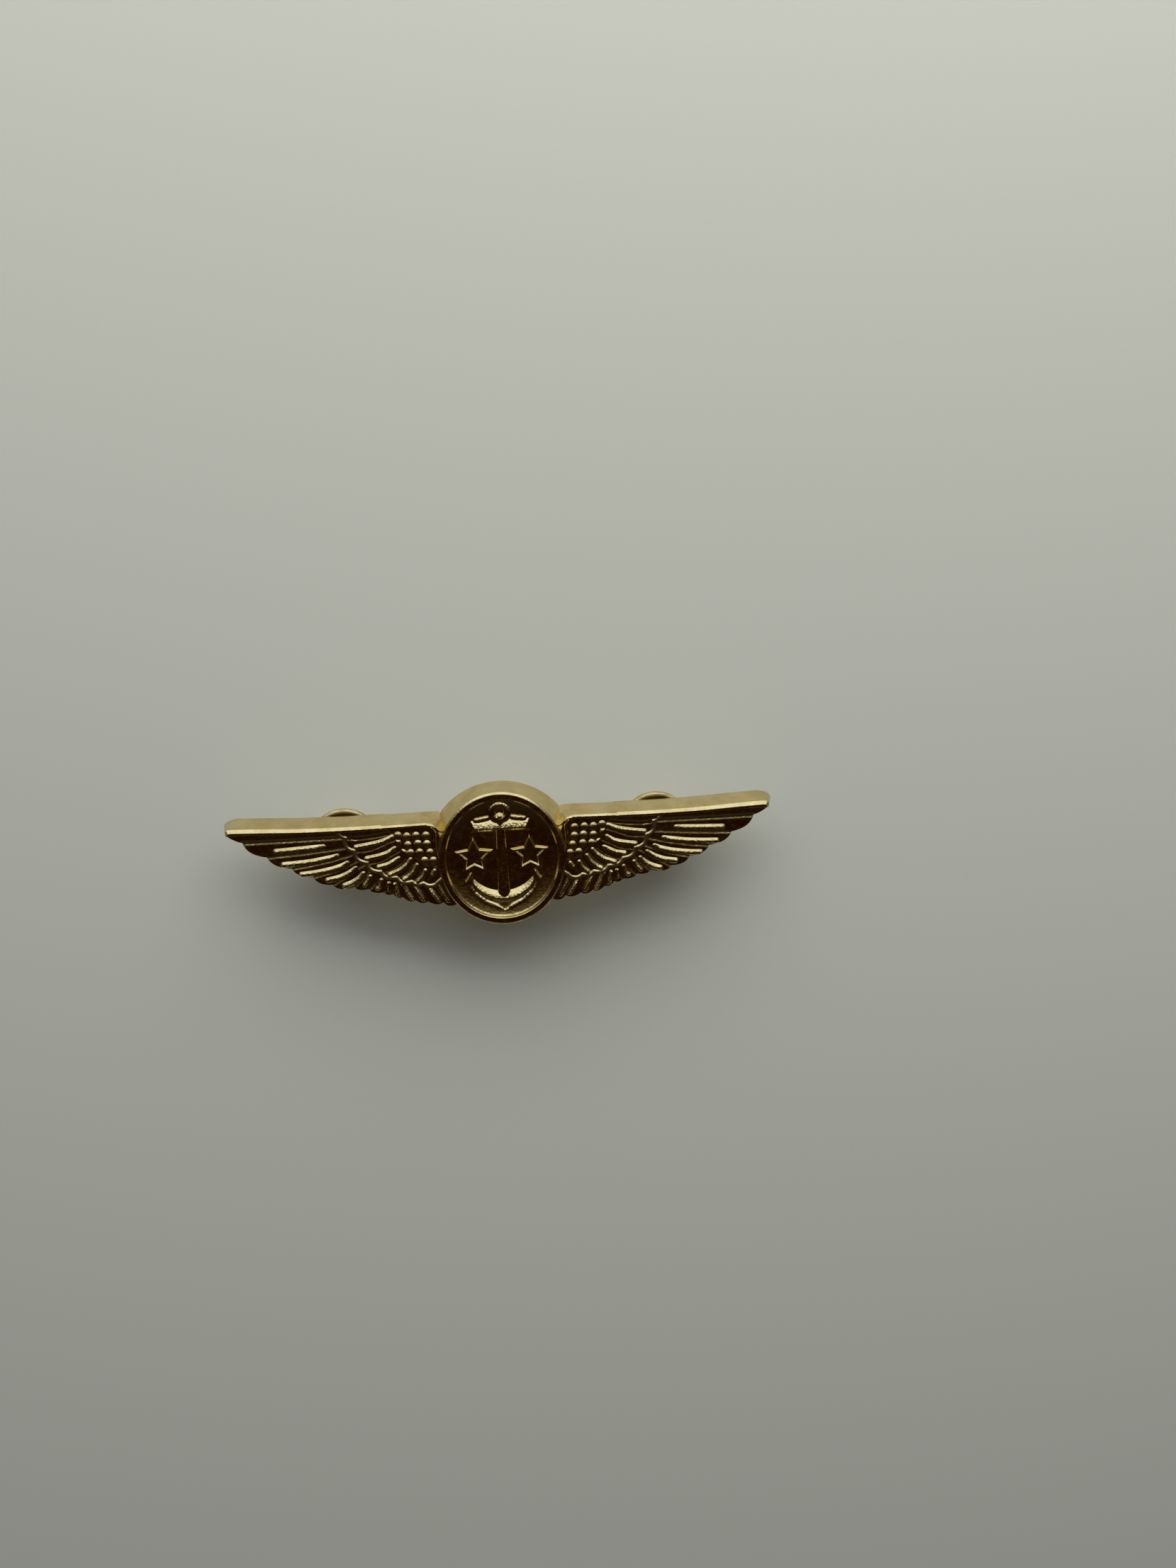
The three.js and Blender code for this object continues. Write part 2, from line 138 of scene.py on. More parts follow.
WELT_FLOOR = FLIGHT_FLOOR + 0.24
BAR_BLEND = 0.16
CORNER_SLOPE = 1.9  # cove in the corner beside the medallion
CORNER_END_X = 9.2
RIM_ROUND = 0.12
LIP_RISE = 0.10  # lip along the feathers' ends
LIP_INSET = 0.13
LIP_WIDTH = 0.06
# Width of the leading edge's bevel by distance from the pin's middle, and where it fades at the tip.
BEVEL_X = [7, 9, 14.6, 14.9, 34]
BEVEL_WIDTHS = [0.20, 0.22, 0.24, 0.34, 0.42]
BEVEL_FADE_X = 32

# Uneven casting.
CAST_WAVE = 0.014  # on the medallion's raised pieces
QUILL_WAVE = 0.09  # on the quills, as a share of their height
BAR_WAVE = 0.012
WING_WAVE_SCALE = 1.9  # how much finer it is on the wings

# Roughness blend towards the walls' own: 0 is polished, 1 is fully matte.
WALL_MATTE = 0.52
BEAD_MATTE = 0.25
WELT_MATTE = 0.6

# Levels of the side walls: share of the way down, and how far the wall moves out there.
WALL_LEVELS = [(w, 0.0) for w in (0.04, 0.1, 0.25, 0.5, 0.75, 0.93)] + [(0.98, -0.02), (1.0, -0.08)]

# -------------------- layout of the right wing
LEADING = [
    (5.9, 5.12), (6.9, 5.16), (8, 5.21), (9.2, 5.24), (12, 5.2), (14.5, 5.16), (14.75, 5.17), (14.9, 5.24),
    (15.15, 5.25), (17, 5.24), (20, 5.24), (25, 5.32), (30, 5.55), (33.3, 5.68),
]
# Round corner of the face beside the medallion, inside the outline.
CORNER = [(7.3, 2.9), (7.65, 3.8), (7.85, 4.3), (8.1, 4.7), (8.5, 5.0), (9.3, 5.2), (10.5, 5.23)]
TIP_CORNER = (34.5, 5.75)  # the tip is rounded towards this corner
TIP_END = (34.1, 4.85)
MIDDLE = ((9.0, -0.3), (33.0, 5.15))  # wing's middle line, which the side walls spread away from
# Round end of each flight feather: the corner it is rounded towards, and its cusp.
FEATHER_ENDS = [
    (33.4, 4.25, 32.2, 3.8), (31.9, 2.2, 29.4, 1.75), (28.9, 0.35, 26.5, 0.1), (26.0, -1.1, 23.95, -1.2),
    (23.4, -2.4, 21.6, -2.35), (21.0, -3.4, 18.9, -2.8), (18.5, -3.5, 17.1, -3.2), (16.8, -3.9, 15.3, -3.8),
    (14.9, -4.3, 14.1, -4.1), (13.5, -4.9, 12.9, -4.6), (12.1, -5.5, 11.3, -5.1), (10.6, -5.8, 9.8, -5.35),
    (8.7, -6.1, 7.8, -5.6), (7.2, -6.5, 6.0, -5.85),
]
# Valleys between the flight feathers, from the leading edge round to the medallion.
FLIGHT_VALLEYS = [
    [(19.5, 3.8), (22, 3.8), (26, 3.78), (30, 3.77), (32.2, 3.8)],
    [(19.2, 2.55), (21, 2.38), (23, 2.2), (26, 1.97), (29.4, 1.78)],
    [(18.6, 1.65), (20, 1.27), (22, 0.83), (24, 0.45), (26.5, 0.12)],
    [(18, 0.8), (19, 0.38), (20, -0.03), (22, -0.67), (24, -1.18)],
    [(17.4, 0.2), (18, -0.12), (19, -0.8), (20, -1.38), (21.6, -2.33)],
    [(16.7, -0.5), (17.3, -1.12), (17.8, -1.65), (18.3, -2.18), (18.9, -2.78)],
    [(15.9, -1.2), (16.1, -1.9), (16.4, -2.5), (17.1, -3.18)],
    [(14.9, -2.1), (14.8, -2.8), (14.9, -3.3), (15.3, -3.78)],
    [(14.6, -2.15), (14.5, -3.28), (14.15, -4.08)],
    [(13.7, -2.15), (13.5, -3.3), (13.3, -4.05), (12.95, -4.6)],
    [(12.9, -2.55), (12.4, -3.4), (11.9, -4.05), (11.35, -5.08)],
    [(11.4, -2.75), (10.8, -3.3), (10.2, -4.05), (9.8, -5.33)],
    [(9.6, -3.05), (9.2, -3.61), (8.8, -4.08), (8.1, -5.04), (7.85, -5.58)],
]
FIRST_REVERSED = 8  # from this flight feather on, the vane rises from the medallion's side
# Crest of each flight feather's quill; the first feather has none.
FLIGHT_QUILLS = [
    [],
    [(22.3, 2.72), (25, 2.58), (28.2, 2.44)],
    [(20.7, 1.38), (21.7, 1.18), (23.7, 0.88), (25.7, 0.72), (27.4, 0.66)],
    [(19.5, 0.38), (20.3, 0.02), (21.7, -0.35), (23.7, -0.66), (25.3, -0.78)],
    [(18.5, -0.38), (19.1, -0.78), (19.7, -1.1), (20.7, -1.46), (22.1, -1.72)],
    [(17.6, -1.15), (18.2, -1.72), (19, -2.2), (20.1, -2.58)],
    [(16.75, -1.55), (17.15, -2.15), (17.6, -2.65)],
    [(15.4, -2.1), (15.7, -2.9), (16, -3.2)],
    [(14.55, -2.6), (14.65, -3.4)],
    [(13.8, -2.8), (13.5, -4.1)],
    [(12.8, -2.9), (11.8, -4.75)],
    [(11.5, -3), (10.4, -4.95)],
    [(9.7, -3.3), (8.4, -5.2)],
    [(8.4, -3.3), (7.2, -5.4)],
]
COVERT_VALLEYS = [
    [(13.4, 4.22), (14.5, 4), (16, 3.8), (17.5, 3.68), (18.6, 3.68), (19.4, 3.8)],
    [(13.3, 3.3), (14.5, 2.9), (16, 2.28), (17, 2.08), (18.45, 2.05)],
    [(12.9, 1.8), (13.5, 1.5), (14.2, 1.15), (15, 0.72), (16, 0.48), (17, 0.38)],
    [(12.3, 0.75), (13, 0.1), (13.7, -0.35), (14.5, -0.7), (15.4, -0.92)],
    [(11.1, 0.3), (11.8, -0.5), (12.4, -1.15), (13.5, -1.82)],
    [(10.2, -0.4), (10.7, -1.2), (11.2, -2), (11.6, -2.5)],
    [(9.2, -0.8), (9.6, -1.7), (10.15, -2.75)],
]
COVERT_QUILLS = [
    [],
    [(13.5, 3.59), (15, 3.06), (16.5, 2.76), (18.2, 2.52)],
    [(13.4, 2.09), (14.3, 1.54), (15.5, 1.19), (17, 0.94)],
    [(13, 0.72), (13.7, 0.34), (14.5, -0.04), (15.6, -0.26)],
    [(11.5, 0.46), (12.1, -0.21), (13, -0.86), (14.3, -1.38)],
    [(10.75, -0.31), (11.3, -1.16), (12, -1.81), (12.5, -2.08)],
    [(9.75, -1.11), (10.2, -1.91), (10.8, -2.46)],
    [(8.6, -1.21), (8.9, -1.66)],
]
# Round ends of the coverts, as for the flight feathers, and the point inside the medallion where they stop.
COVERT_START = (20.4, 4.8)
COVERT_ENDS = [
    (20.1, 3.95, 19.4, 3.8), (19.85, 2.3, 18.45, 2.05), (18.6, 0.6, 17, 0.38), (17, -0.8, 15.4, -0.92),
    (15.1, -1.9, 13.5, -1.82), (13, -2.8, 11.6, -2.5), (11.1, -3.1, 10.15, -2.8), (9.5, -3.4, 8.6, -3),
    (8.2, -2.6, 7.6, -2.2),
]
COVERT_STOP = (7.0, -2.0)
BEADS = [
    (9.37, 3.53), (10.62, 3.58), (11.77, 3.55), (12.87, 3.73), (9.32, 2.4), (10.47, 2.5), (11.72, 2.4),
    (13.02, 2.75), (9.02, 1.25), (10.32, 1.35), (11.47, 1.35), (8.67, 0.17), (9.77, 0.22), (12.42, 1.4),
]
BEAD_FIELD_LINE = [
    (13.9, 4.9), (13.3, 3.5), (12.5, 1.85), (10.95, 0.75), (10.1, -0.15), (9.2, -0.5), (8.0, -0.7),
    (6.5, -0.8),
]
BAR_LINE = [
    (7.6, 3.9), (8.3, 4.5), (9.3, 4.76), (14.6, 4.68), (20, 4.58), (25, 4.62), (30, 4.8), (34.3, 4.85),
]
BORDER_LINE = [(8.6, 4.5), (8.25, 3.9), (8.3, 2.8), (8.3, 1.4), (8.05, 0.2), (8.1, -0.8)]

# -------------------- layout of the medallion
# Its rim: distance inside the front outline, height from the crest.
RIM_PROFILE = [
    (0.0, -0.26), (0.03, -0.19), (0.22, -0.035), (0.28, -0.01), (0.34, 0.0), (0.74, 0.0), (0.80, -0.015),
    (0.86, -0.08), (0.93, -0.24), (1.0, -0.34), (1.15, -0.42), (1.4, -0.50), (1.8, -0.61), (2.2, -0.70),
    (2.6, -0.76), (3.0, -0.79), (3.4, -FIELD_DEPTH),
]
SKIRT = 0.06  # how far a raised piece reaches below the field
SKIRT_FLOOR = 0.02  # and its flat bottom below that
FALL = 1.4  # slope at which a raised piece's height falls away outside its edge
STAR_FALL = 1.6

# Anchor: a bar is two ends and the half width at each.
ANCHOR_LOW = (-5.8, -7.6)
ANCHOR_HIGH = (5.8, 8.0)
RING = (0, 6.05)
RING_RADIUS = 0.98
RING_HALF = 0.54
RING_RISE = 0.46
COLLAR_RADIUS = 1.6
STOCK_TOP = 5.2
STOCK_BOTTOM = 3.45
STOCK_HALF = 3.75
STOCK_SLOPES = (0.62, 1.2, 1.3)  # of its top, bottom and end facets
LOBE = ((3.0, 5.05), (1.6, 5.3), 0.42, 0.36)
SHANK = ((0, 5.4), (0, -4.9), 0.58, 0.82)
FLUKE = ((4.35, -3.0), (4.15, -1.95), 0.6, 0.22)
ARMS_RADIUS = 4.5
ARMS_Y = -0.85
ARMS_TURN = (-154, -26)
ARMS_STEPS = 25
KEEL = [
    (-4.65, -2.9), (-3.85, -4.6), (-2.5, -5.85), (-1.0, -6.6), (0, -7.1), (1.0, -6.6), (2.5, -5.85),
    (3.85, -4.6), (4.65, -2.9),
]
KEEL_HALVES = [0.3, 0.45, 0.52, 0.5, 0.3, 0.5, 0.52, 0.45, 0.3]

STAR_X = 3.55
STAR_Y = 0.35
STAR_RADIUS = 2.6
STAR_WAIST = 0.5  # inner corners' share of the radius
STAR_BORDER = 0.21
STAR_RISE = 0.42
STAR_FACE = 0.22
STAR_ROOM = 2.7  # half width of the square that holds a star

# -------------------- layout of the fixings
DISH_FLOOR = BASE_LOW + SHEET
HOLE_EDGE = 0.06
# Pressed ring round the clutch's hole: radius, height above the sheet.
PRESSED_RING = [(1.6, 0), (1.75, 0.02), (1.9, 0.09), (2.05, 0.09), (2.2, 0.02)]
DISH_FLAT = np.linspace(2.3, 3.3, 14)
DIMPLES = 8
DIMPLE_RING = 2.85
DIMPLE_RADIUS = 0.26
DIMPLE_RISE = 0.13
COVER_FLAT = np.linspace(2.2, 1.3, 12)
COVER_CURVE = 0.4  # outer corner's radius
COVER_HOLLOW = 0.25  # inner corner's radius
COVER_LIP = 0.08  # sheet turned up round the cover's hole
SPRING_END = 1.55  # legs' reach on either side of the post
NECK = POST_RADIUS - 0.15
HEAD_LOW = POST_TOP - HEAD_THICKNESS

# -------------------- camera and light
CAMERA_TURN = (15.0, 2.5, 3.12)  # pitch, yaw and roll of the pin as the camera sees it, degrees
CAMERA_OFFSET = (-10.88, -9.48, -149.15)  # the pin's face from the camera, in the camera's axes
LENS = 27.03
CLIP = (0.01, 10)  # metres
FLOOR_SIZE = 3
FLOOR_COLOUR = (0.60, 0.605, 0.535, 1)
FLOOR_ROUGHNESS = 0.42

# Colour of the room by how far north a direction points (its Y part).
ROOM_STOPS = [
    (-1.0, (0.030, 0.026, 0.020)), (-0.45, (0.012, 0.0035, 0.0006)), (-0.15, (0.014, 0.004, 0.0007)),
    (0.0, (0.045, 0.027, 0.007)), (0.16, (0.085, 0.075, 0.042)), (0.34, (0.16, 0.155, 0.12)),
    (0.5, (0.38, 0.38, 0.335)), (1.0, (0.40, 0.40, 0.35)),
]
BACKDROP = (0.27, 0.27, 0.255, 1)  # what shows behind the table
# Each light: place, target, size, power, colour and whether it shows in reflections.
LIGHTS = {
    "window": ((0.0, 0.95, 0.78), (0, 0, 0), (2.2, 1.1), 6.2, (0.85, 0.97, 1.18), True),
    "ceiling": ((0.05, 0.38, 0.20), (0.03, 0.25, 0), (0.5, 0.3), 1.8, (1.0, 0.99, 0.96), False),
    "overhead": ((0.1, 0.0, 0.5), (0, 0, 0), (0.6, 0.6), 0.06, (1.0, 0.975, 0.90), False),
}

# -------------------- metals
# Each metal: tint, deeper tint, roughness where it is most and least polished, depth of its bumps.
METALS = {
    "plated_gold": ((0.77, 0.615, 0.31), (0.63, 0.465, 0.195), 0.10, 0.30, 0.035),
    "clutch_brass": ((0.82, 0.67, 0.36), (0.55, 0.40, 0.17), 0.30, 0.60, 0.03),
    "post_brass": ((0.82, 0.66, 0.36), (0.66, 0.48, 0.22), 0.14, 0.30, 0.006),
    "spring_steel": ((0.60, 0.59, 0.57), (0.42, 0.41, 0.39), 0.20, 0.40, 0.004),
    "grey_solder": ((0.55, 0.54, 0.51), (0.34, 0.33, 0.31), 0.30, 0.55, 0.03),
}
MATTE_ROUGHNESS = (0.42, 0.42, 0.42, 1)
NOISE_ROUGHNESS = 0.55
# Each noise: features per metre, detail.
CLOUD = (450, 4)
WEAR = (1600, 5)
PEEL = (3400, 2.5)
SCRATCHES = (6000, 2)
SCRATCH_STRETCH = (0.12, 1.6, 1)
SCRATCH_SHARE = 1 / 8  # scratches' depth, as a share of the bumps'


class Nodes:
    """A node tree, with short calls to add nodes and join them."""

    def __init__(self, tree):
        self.tree = tree

    def add(self, kind, **settings):
        node = self.tree.nodes.new(kind)
        for key, value in settings.items():
            setattr(node, key, value)
        return node

    def link(self, output, node, name):
        self.tree.links.new(output, node.inputs[name])

    def noise(self, place, scale, detail, stretch=(1, 1, 1)):
        """A noise value with its scale in features per metre, stretched along the object's axes."""
        mapping = self.add("ShaderNodeMapping")
        mapping.inputs["Scale"].default_value = [scale * s for s in stretch]
        self.link(place, mapping, "Vector")
        noise = self.add("ShaderNodeTexNoise")
        noise.inputs["Scale"].default_value = 1.0
        noise.inputs["Detail"].default_value = detail
        noise.inputs["Roughness"].default_value = NOISE_ROUGHNESS
        self.link(mapping.outputs[0], noise, "Vector")
        return noise.outputs["Fac"]

    def ramp(self, value, stops):
        """Colours by value; a stop is (position, colour)."""
        ramp = self.add("ShaderNodeValToRGB")
        elements = ramp.color_ramp.elements
        while len(elements) < len(stops):
            elements.new(0.5)
        for element, (position, colour) in zip(elements, stops):
            element.position = position
            element.color = (*colour, 1)
        self.link(value, ramp, "Fac")
        return ramp.outputs["Color"]

    def blend(self, share, first, second):
        """One colour turning into another, which is constant, by share."""
        mix = self.add("ShaderNodeMix", data_type="RGBA")
        self.link(share, mix, "Factor")
        self.link(first, mix, "A")
        mix.inputs["B"].default_value = second
        return mix.outputs["Result"]

    def bump(self, height, depth):
        bump = self.add("ShaderNodeBump")
        bump.inputs["Distance"].default_value = depth * MM
        self.link(height, bump, "Height")
        return bump


def metal(name, tint, deep, low_rough, high_rough, bump_depth):
    material = bpy.data.materials.new(name)
    material.use_nodes = True
    nodes = Nodes(material.node_tree)
    shader = material.node_tree.nodes["Principled BSDF"]
    shader.inputs["Metallic"].default_value = 1.0
    place = nodes.add("ShaderNodeTexCoord").outputs["Object"]
    cloud = nodes.noise(place, *CLOUD)
    nodes.link(nodes.ramp(cloud, [(0.3, deep), (0.62, tint)]), shader, "Base Color")
    wear = nodes.noise(place, *WEAR)
    polish = nodes.ramp(wear, [(0.3, (low_rough,) * 3), (0.75, (high_rough,) * 3)])
    matte = nodes.add("ShaderNodeAttribute", attribute_name="matte").outputs["Fac"]
    nodes.link(nodes.blend(matte, polish, MATTE_ROUGHNESS), shader, "Roughness")
    peel = nodes.bump(nodes.noise(place, *PEEL), bump_depth)
    scratch_noise = nodes.noise(place, *SCRATCHES, stretch=SCRATCH_STRETCH)
    scratched = nodes.bump(scratch_noise, bump_depth * SCRATCH_SHARE)
    nodes.link(peel.outputs["Normal"], scratched, "Normal")
    nodes.link(scratched.outputs["Normal"], shader, "Normal")
    return material


# -------------------- stage, light and camera
def add_stage():
    bpy.ops.mesh.primitive_plane_add(size=FLOOR_SIZE)
    floor = bpy.context.object
    floor.name = "floor"
    material = bpy.data.materials.new("pale_table")
    material.use_nodes = True
    shader = material.node_tree.nodes["Principled BSDF"]
    shader.inputs["Base Color"].default_value = FLOOR_COLOUR
    shader.inputs["Roughness"].default_value = FLOOR_ROUGHNESS
    floor.data.materials.append(material)


def area_light(name, place, target, size, power, colour, glossy):
    data = bpy.data.lights.new(name, "AREA")
    data.shape = "RECTANGLE"
    data.size, data.size_y = size
    data.energy = power
    data.color = colour
    light = bpy.data.objects.new(name, data)
    bpy.context.scene.collection.objects.link(light)
    light.location = place
    light.rotation_euler = (Vector(target) - Vector(place)).to_track_quat("-Z", "Y").to_euler()
    light.visible_glossy = glossy


def add_room():
    """What the metal reflects: brighter to the north, dark and warm to the south, with a plain backdrop."""
    world = bpy.data.worlds.new("studio")
    bpy.context.scene.world = world
    world.use_nodes = True
    nodes = Nodes(world.node_tree)
    parts = nodes.add("ShaderNodeSeparateXYZ")
    nodes.link(nodes.add("ShaderNodeTexCoord").outputs["Generated"], parts, "Vector")
    north = nodes.add("ShaderNodeMapRange")
    north.inputs["From Min"].default_value = -1
    nodes.link(parts.outputs["Y"], north, "Value")
    room = nodes.ramp(north.outputs[0], [((y + 1) / 2, colour) for y, colour in ROOM_STOPS])
    seen = nodes.add("ShaderNodeLightPath").outputs["Is Camera Ray"]
    nodes.link(nodes.blend(seen, room, BACKDROP), world.node_tree.nodes["Background"], "Color")


def add_light():
    add_room()
    for name, values in LIGHTS.items():
        area_light(name, *values)
    bpy.context.scene.view_settings.view_transform = "Standard"


def add_camera():
    pitch, yaw, roll = [math.radians(a) for a in CAMERA_TURN]
    turn = Matrix.Rotation(roll, 4, "Z") @ Matrix.Rotation(yaw, 4, "Y") @ Matrix.Rotation(pitch, 4, "X")
    to_camera = Matrix.Translation(Vector(CAMERA_OFFSET) * MM) @ turn
    data = bpy.data.cameras.new("camera")
    data.lens = LENS
    data.clip_start, data.clip_end = CLIP
    camera = bpy.data.objects.new("camera", data)
    bpy.context.scene.collection.objects.link(camera)
    camera.matrix_world = Matrix.Translation((0, 0, EDGE_Z * MM)) @ to_camera.inverted()
    bpy.context.scene.camera = camera


# -------------------- curves in the plane of the badge
def spline(points, steps=8):
    """Catmull-Rom curve through the points."""
    p = np.array(points, float)
    p = np.vstack([2 * p[0] - p[1], p, 2 * p[-1] - p[-2]])
    u = np.linspace(0, 1, steps, endpoint=False)[:, None]
    out = []
    for a, b, c, d in zip(p[:-3], p[1:-2], p[2:-1], p[3:]):
        square = (2 * a - 5 * b + 4 * c - d) * u**2
        cube = (3 * b - a - 3 * c + d) * u**3
        out.append(0.5 * (2 * b + (c - a) * u + square + cube))
    return np.vstack([*out, p[-2][None]])


def scallops(start, arcs, steps=16):
    """A run of round ends: each arc is the corner it is rounded towards and the cusp it ends on."""
    u = np.linspace(0, 1, steps, endpoint=False)[:, None]
    out = []
    a = np.array(start, float)
    for corner_x, corner_y, cusp_x, cusp_y in arcs:
        b = np.array((corner_x, corner_y))
        c = np.array((cusp_x, cusp_y))
        out.append((1 - u) ** 2 * a + 2 * u * (1 - u) * b + u**2 * c)
        a = c
    return np.vstack([*out, a[None]])


def arc(centre, radius, start, end, steps):
    """Points of a round stretch of a profile, angles in degrees."""
    angle = np.radians(np.linspace(start, end, steps))
    return [(centre[0] + radius * math.cos(a), centre[1] + radius * math.sin(a)) for a in angle]


def nearest(x, y, line):
    """Distance to a line of points, the side of it (+1 left of its direction) and the travel along it."""
    best = np.full(x.shape, np.inf)
    side = np.ones(x.shape)
    travel = np.zeros(x.shape)
    run = 0.0
    for (ax, ay), (bx, by) in zip(line[:-1], line[1:]):
        ux, uy = bx - ax, by - ay
        length = math.hypot(ux, uy)
        t = np.clip(((x - ax) * ux + (y - ay) * uy) / length**2, 0, 1)
        dx, dy = x - ax - t * ux, y - ay - t * uy
        d = dx * dx + dy * dy
        closer = d < best
        best = np.where(closer, d, best)
        side = np.where(closer, np.sign(ux * dy - uy * dx), side)
        travel = np.where(closer, run + t * length, travel)
        run += length
    return np.sqrt(best), side, travel


def even(points, count):
    """Resamples a line of points to equal steps along it."""
    run = np.r_[0, np.cumsum(np.linalg.norm(np.diff(points, axis=0), axis=1))]
    at = np.linspace(0, run[-1], count)
    return np.c_[np.interp(at, run, points[:, 0]), np.interp(at, run, points[:, 1])]


def smooth(x):
    x = np.clip(x, 0, 1)
    return x * x * (3 - 2 * x)


def round_top(x):
    """A half circle of height 1 over x from -1 to 1."""
    return np.sqrt(np.clip(1 - x**2, 0, 1))


def casting(x, y):
    """The uneven surface that casting leaves, from -1 to 1."""
    return np.sin(9.0 * x + 2.0 * np.sin(4.0 * y)) * np.sin(8.0 * y + 1.5 * np.sin(5.0 * x))


# -------------------- meshes and pieces
def grid_faces(index, wrap=False):
    """Quads of a grid of vertex numbers; wrap joins its last column to its first."""
    if wrap:
        index = np.c_[index, index[:, :1]]
    a, b, c, d = index[:-1, :-1], index[:-1, 1:], index[1:, 1:], index[1:, :-1]
    return np.stack([a, b, c, d], -1).reshape(-1, 4).tolist()


def capped_tube(index):
    """Faces of a tube of rings of vertex numbers, closed by a flat face at each end."""
    return grid_faces(index, wrap=True) + [index[0][::-1].tolist(), index[-1].tolist()]


def flipped(faces):
    return [face[::-1] for face in faces]


def numbers(rows, columns):
    return np.arange(rows * columns).reshape(rows, columns)


def unit(vectors):
    return vectors / np.linalg.norm(vectors, axis=1, keepdims=True)


def make_object(name, points, faces, material):
    mesh = bpy.data.meshes.new(name)
    mesh.from_pydata((np.array(points, float) * MM).tolist(), [], faces)
    mesh.validate()
    mesh.polygons.foreach_set("use_smooth", [True] * len(mesh.polygons))
    mesh.materials.append(material)
    mesh.update()
    piece = bpy.data.objects.new(name, mesh)
    bpy.context.scene.collection.objects.link(piece)
    return piece


def placed(name, points, faces, material, body, node):
    """A piece that stands in for a CAD node on its body."""
    piece = make_object(name, points, faces, material)
    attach(piece, body)
    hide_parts(node)
    return piece


def set_matte(piece, values):
    attribute = piece.data.attributes.new("matte", "FLOAT", "POINT")
    attribute.data.foreach_set("value", values)


# -------------------- the wing's relief
def vane_between(first, last):
    """A vane's height by its distances to the valley it rises from and the valley it drops to."""
    share = first / (first + last + 1e-9)
    return VANE_RISE * smooth(first / 0.36) * (1.1 - 0.35 * share) * smooth(last / 0.2 + 0.1)


def last_vane(upper):
    """Height of the vane beyond the last valley, by its distance to that valley."""
    share = 0.7 * np.minimum(upper / 1.2, 1)
    return VANE_RISE * (np.minimum(share / 0.34, 1) + 0.25 * smooth((share - 0.45) / 0.25))


def vanes(x, y, valleys, floor, first_reversed):
    """Shingled vanes: each rises gently from one valley and drops to the next."""
    measured = [nearest(x, y, spline(valley)) for valley in valleys]
    rank = sum((side < 0).astype(int) for _, side, _ in measured)
    distances = [distance for distance, _, _ in measured]
    height = FIRST_VANE_RISE * smooth(distances[0] / 0.495)
    for i, (upper, lower) in enumerate(zip(distances[:-1], distances[1:]), 1):
        vane = vane_between(lower, upper) if i >= first_reversed else vane_between(upper, lower)
        height = np.where(rank == i, vane, height)
    return floor + np.where(rank == len(valleys), last_vane(distances[-1]), height)


def quills(x, y, lines, first_reversed):
    """Rounded quills with round ends, wider on the side that faces the leading edge."""
    total = np.zeros(x.shape)
    for i, points in enumerate(lines):
        if not points:
            continue
        line = spline(points)
        middle_x = line[:, 0].mean()
        near = np.abs(x - middle_x) < QUILL_WINDOW
        distance, side, travel = nearest(x[near], y[near], line)
        lean = -1 if i >= first_reversed else 1
        width = np.where(side * lean > 0, QUILL_NEAR, QUILL_FAR)
        if middle_x < SLIM_BEFORE_X:
            width = width * SLIM_QUILL
        fade = 0.55 + 0.45 * smooth(travel / 1.2)
        shape = np.clip(1 - (distance / width) ** 2, 0, 1) ** 0.9
        total[near] = np.maximum(total[near], shape * fade)
    return total * (1 + QUILL_WAVE * casting(WING_WAVE_SCALE * x, WING_WAVE_SCALE * y))


def tier_relief(x, y, valleys, crests, floor, first_reversed):
    height = vanes(x, y, valleys, floor, first_reversed)
    return height + QUILL_RISE * quills(x, y, crests, first_reversed)


def bead_relief(x, y):
    """Rows of beads, and how far each point belongs to their field."""
    beads = np.zeros(x.shape)
    for bead_x, bead_y in BEADS:
        beads = np.maximum(beads, BEAD_RISE * round_top(np.hypot(x - bead_x, y - bead_y) / BEAD_RADIUS))
    distance, side, _ = nearest(x, y, spline(BEAD_FIELD_LINE))
    return beads, smooth(0.5 - side * distance / BEAD_BLEND)


def wing_relief(x, y):
    """Height of the right wing's face above its front edge, and how matte it is."""
    flights = tier_relief(x, y, FLIGHT_VALLEYS, FLIGHT_QUILLS, FLIGHT_FLOOR, FIRST_REVERSED)
    coverts = tier_relief(x, y, COVERT_VALLEYS, COVERT_QUILLS, COVERT_FLOOR, len(COVERT_QUILLS))
    beads, in_beads = bead_relief(x, y)
    coverts = coverts * (1 - in_beads) + (BEAD_FLOOR + beads) * in_beads
    coverts = np.where(in_beads > 0.4, np.maximum(coverts, BEAD_FLOOR + beads), coverts)
    from_border, _, _ = nearest(x, y, spline(BORDER_LINE))
    coverts = np.maximum(coverts, BEAD_FLOOR + BORDER_RISE * round_top(from_border / BORDER_HALF))
    from_tier, tier_side, _ = nearest(x, y, np.vstack([scallops(COVERT_START, COVERT_ENDS), [COVERT_STOP]]))
    on_coverts = tier_side < 0
    height = np.where(on_coverts, coverts, flights)
    welt = WELT_FLOOR + WELT_RISE * round_top((from_tier - 0.05) / WELT_WIDTH)
    height = np.where(from_tier < WELT_WIDTH + 0.05, np.maximum(height, welt), height)
    from_bar, bar_side, _ = nearest(x, y, spline(BAR_LINE))
    bar = smooth(0.5 + bar_side * from_bar / BAR_BLEND)
    bar_wave = BAR_WAVE * (1 + casting(WING_WAVE_SCALE * x, WING_WAVE_SCALE * y))
    bead_matte = BEAD_MATTE * in_beads * on_coverts * (beads > 0)
    welt_matte = WELT_MATTE * smooth((WELT_WIDTH + 0.1 - from_tier) / 0.12)
    return height * (1 - bar) - bar_wave * bar, np.maximum(bead_matte, welt_matte) * (1 - bar)


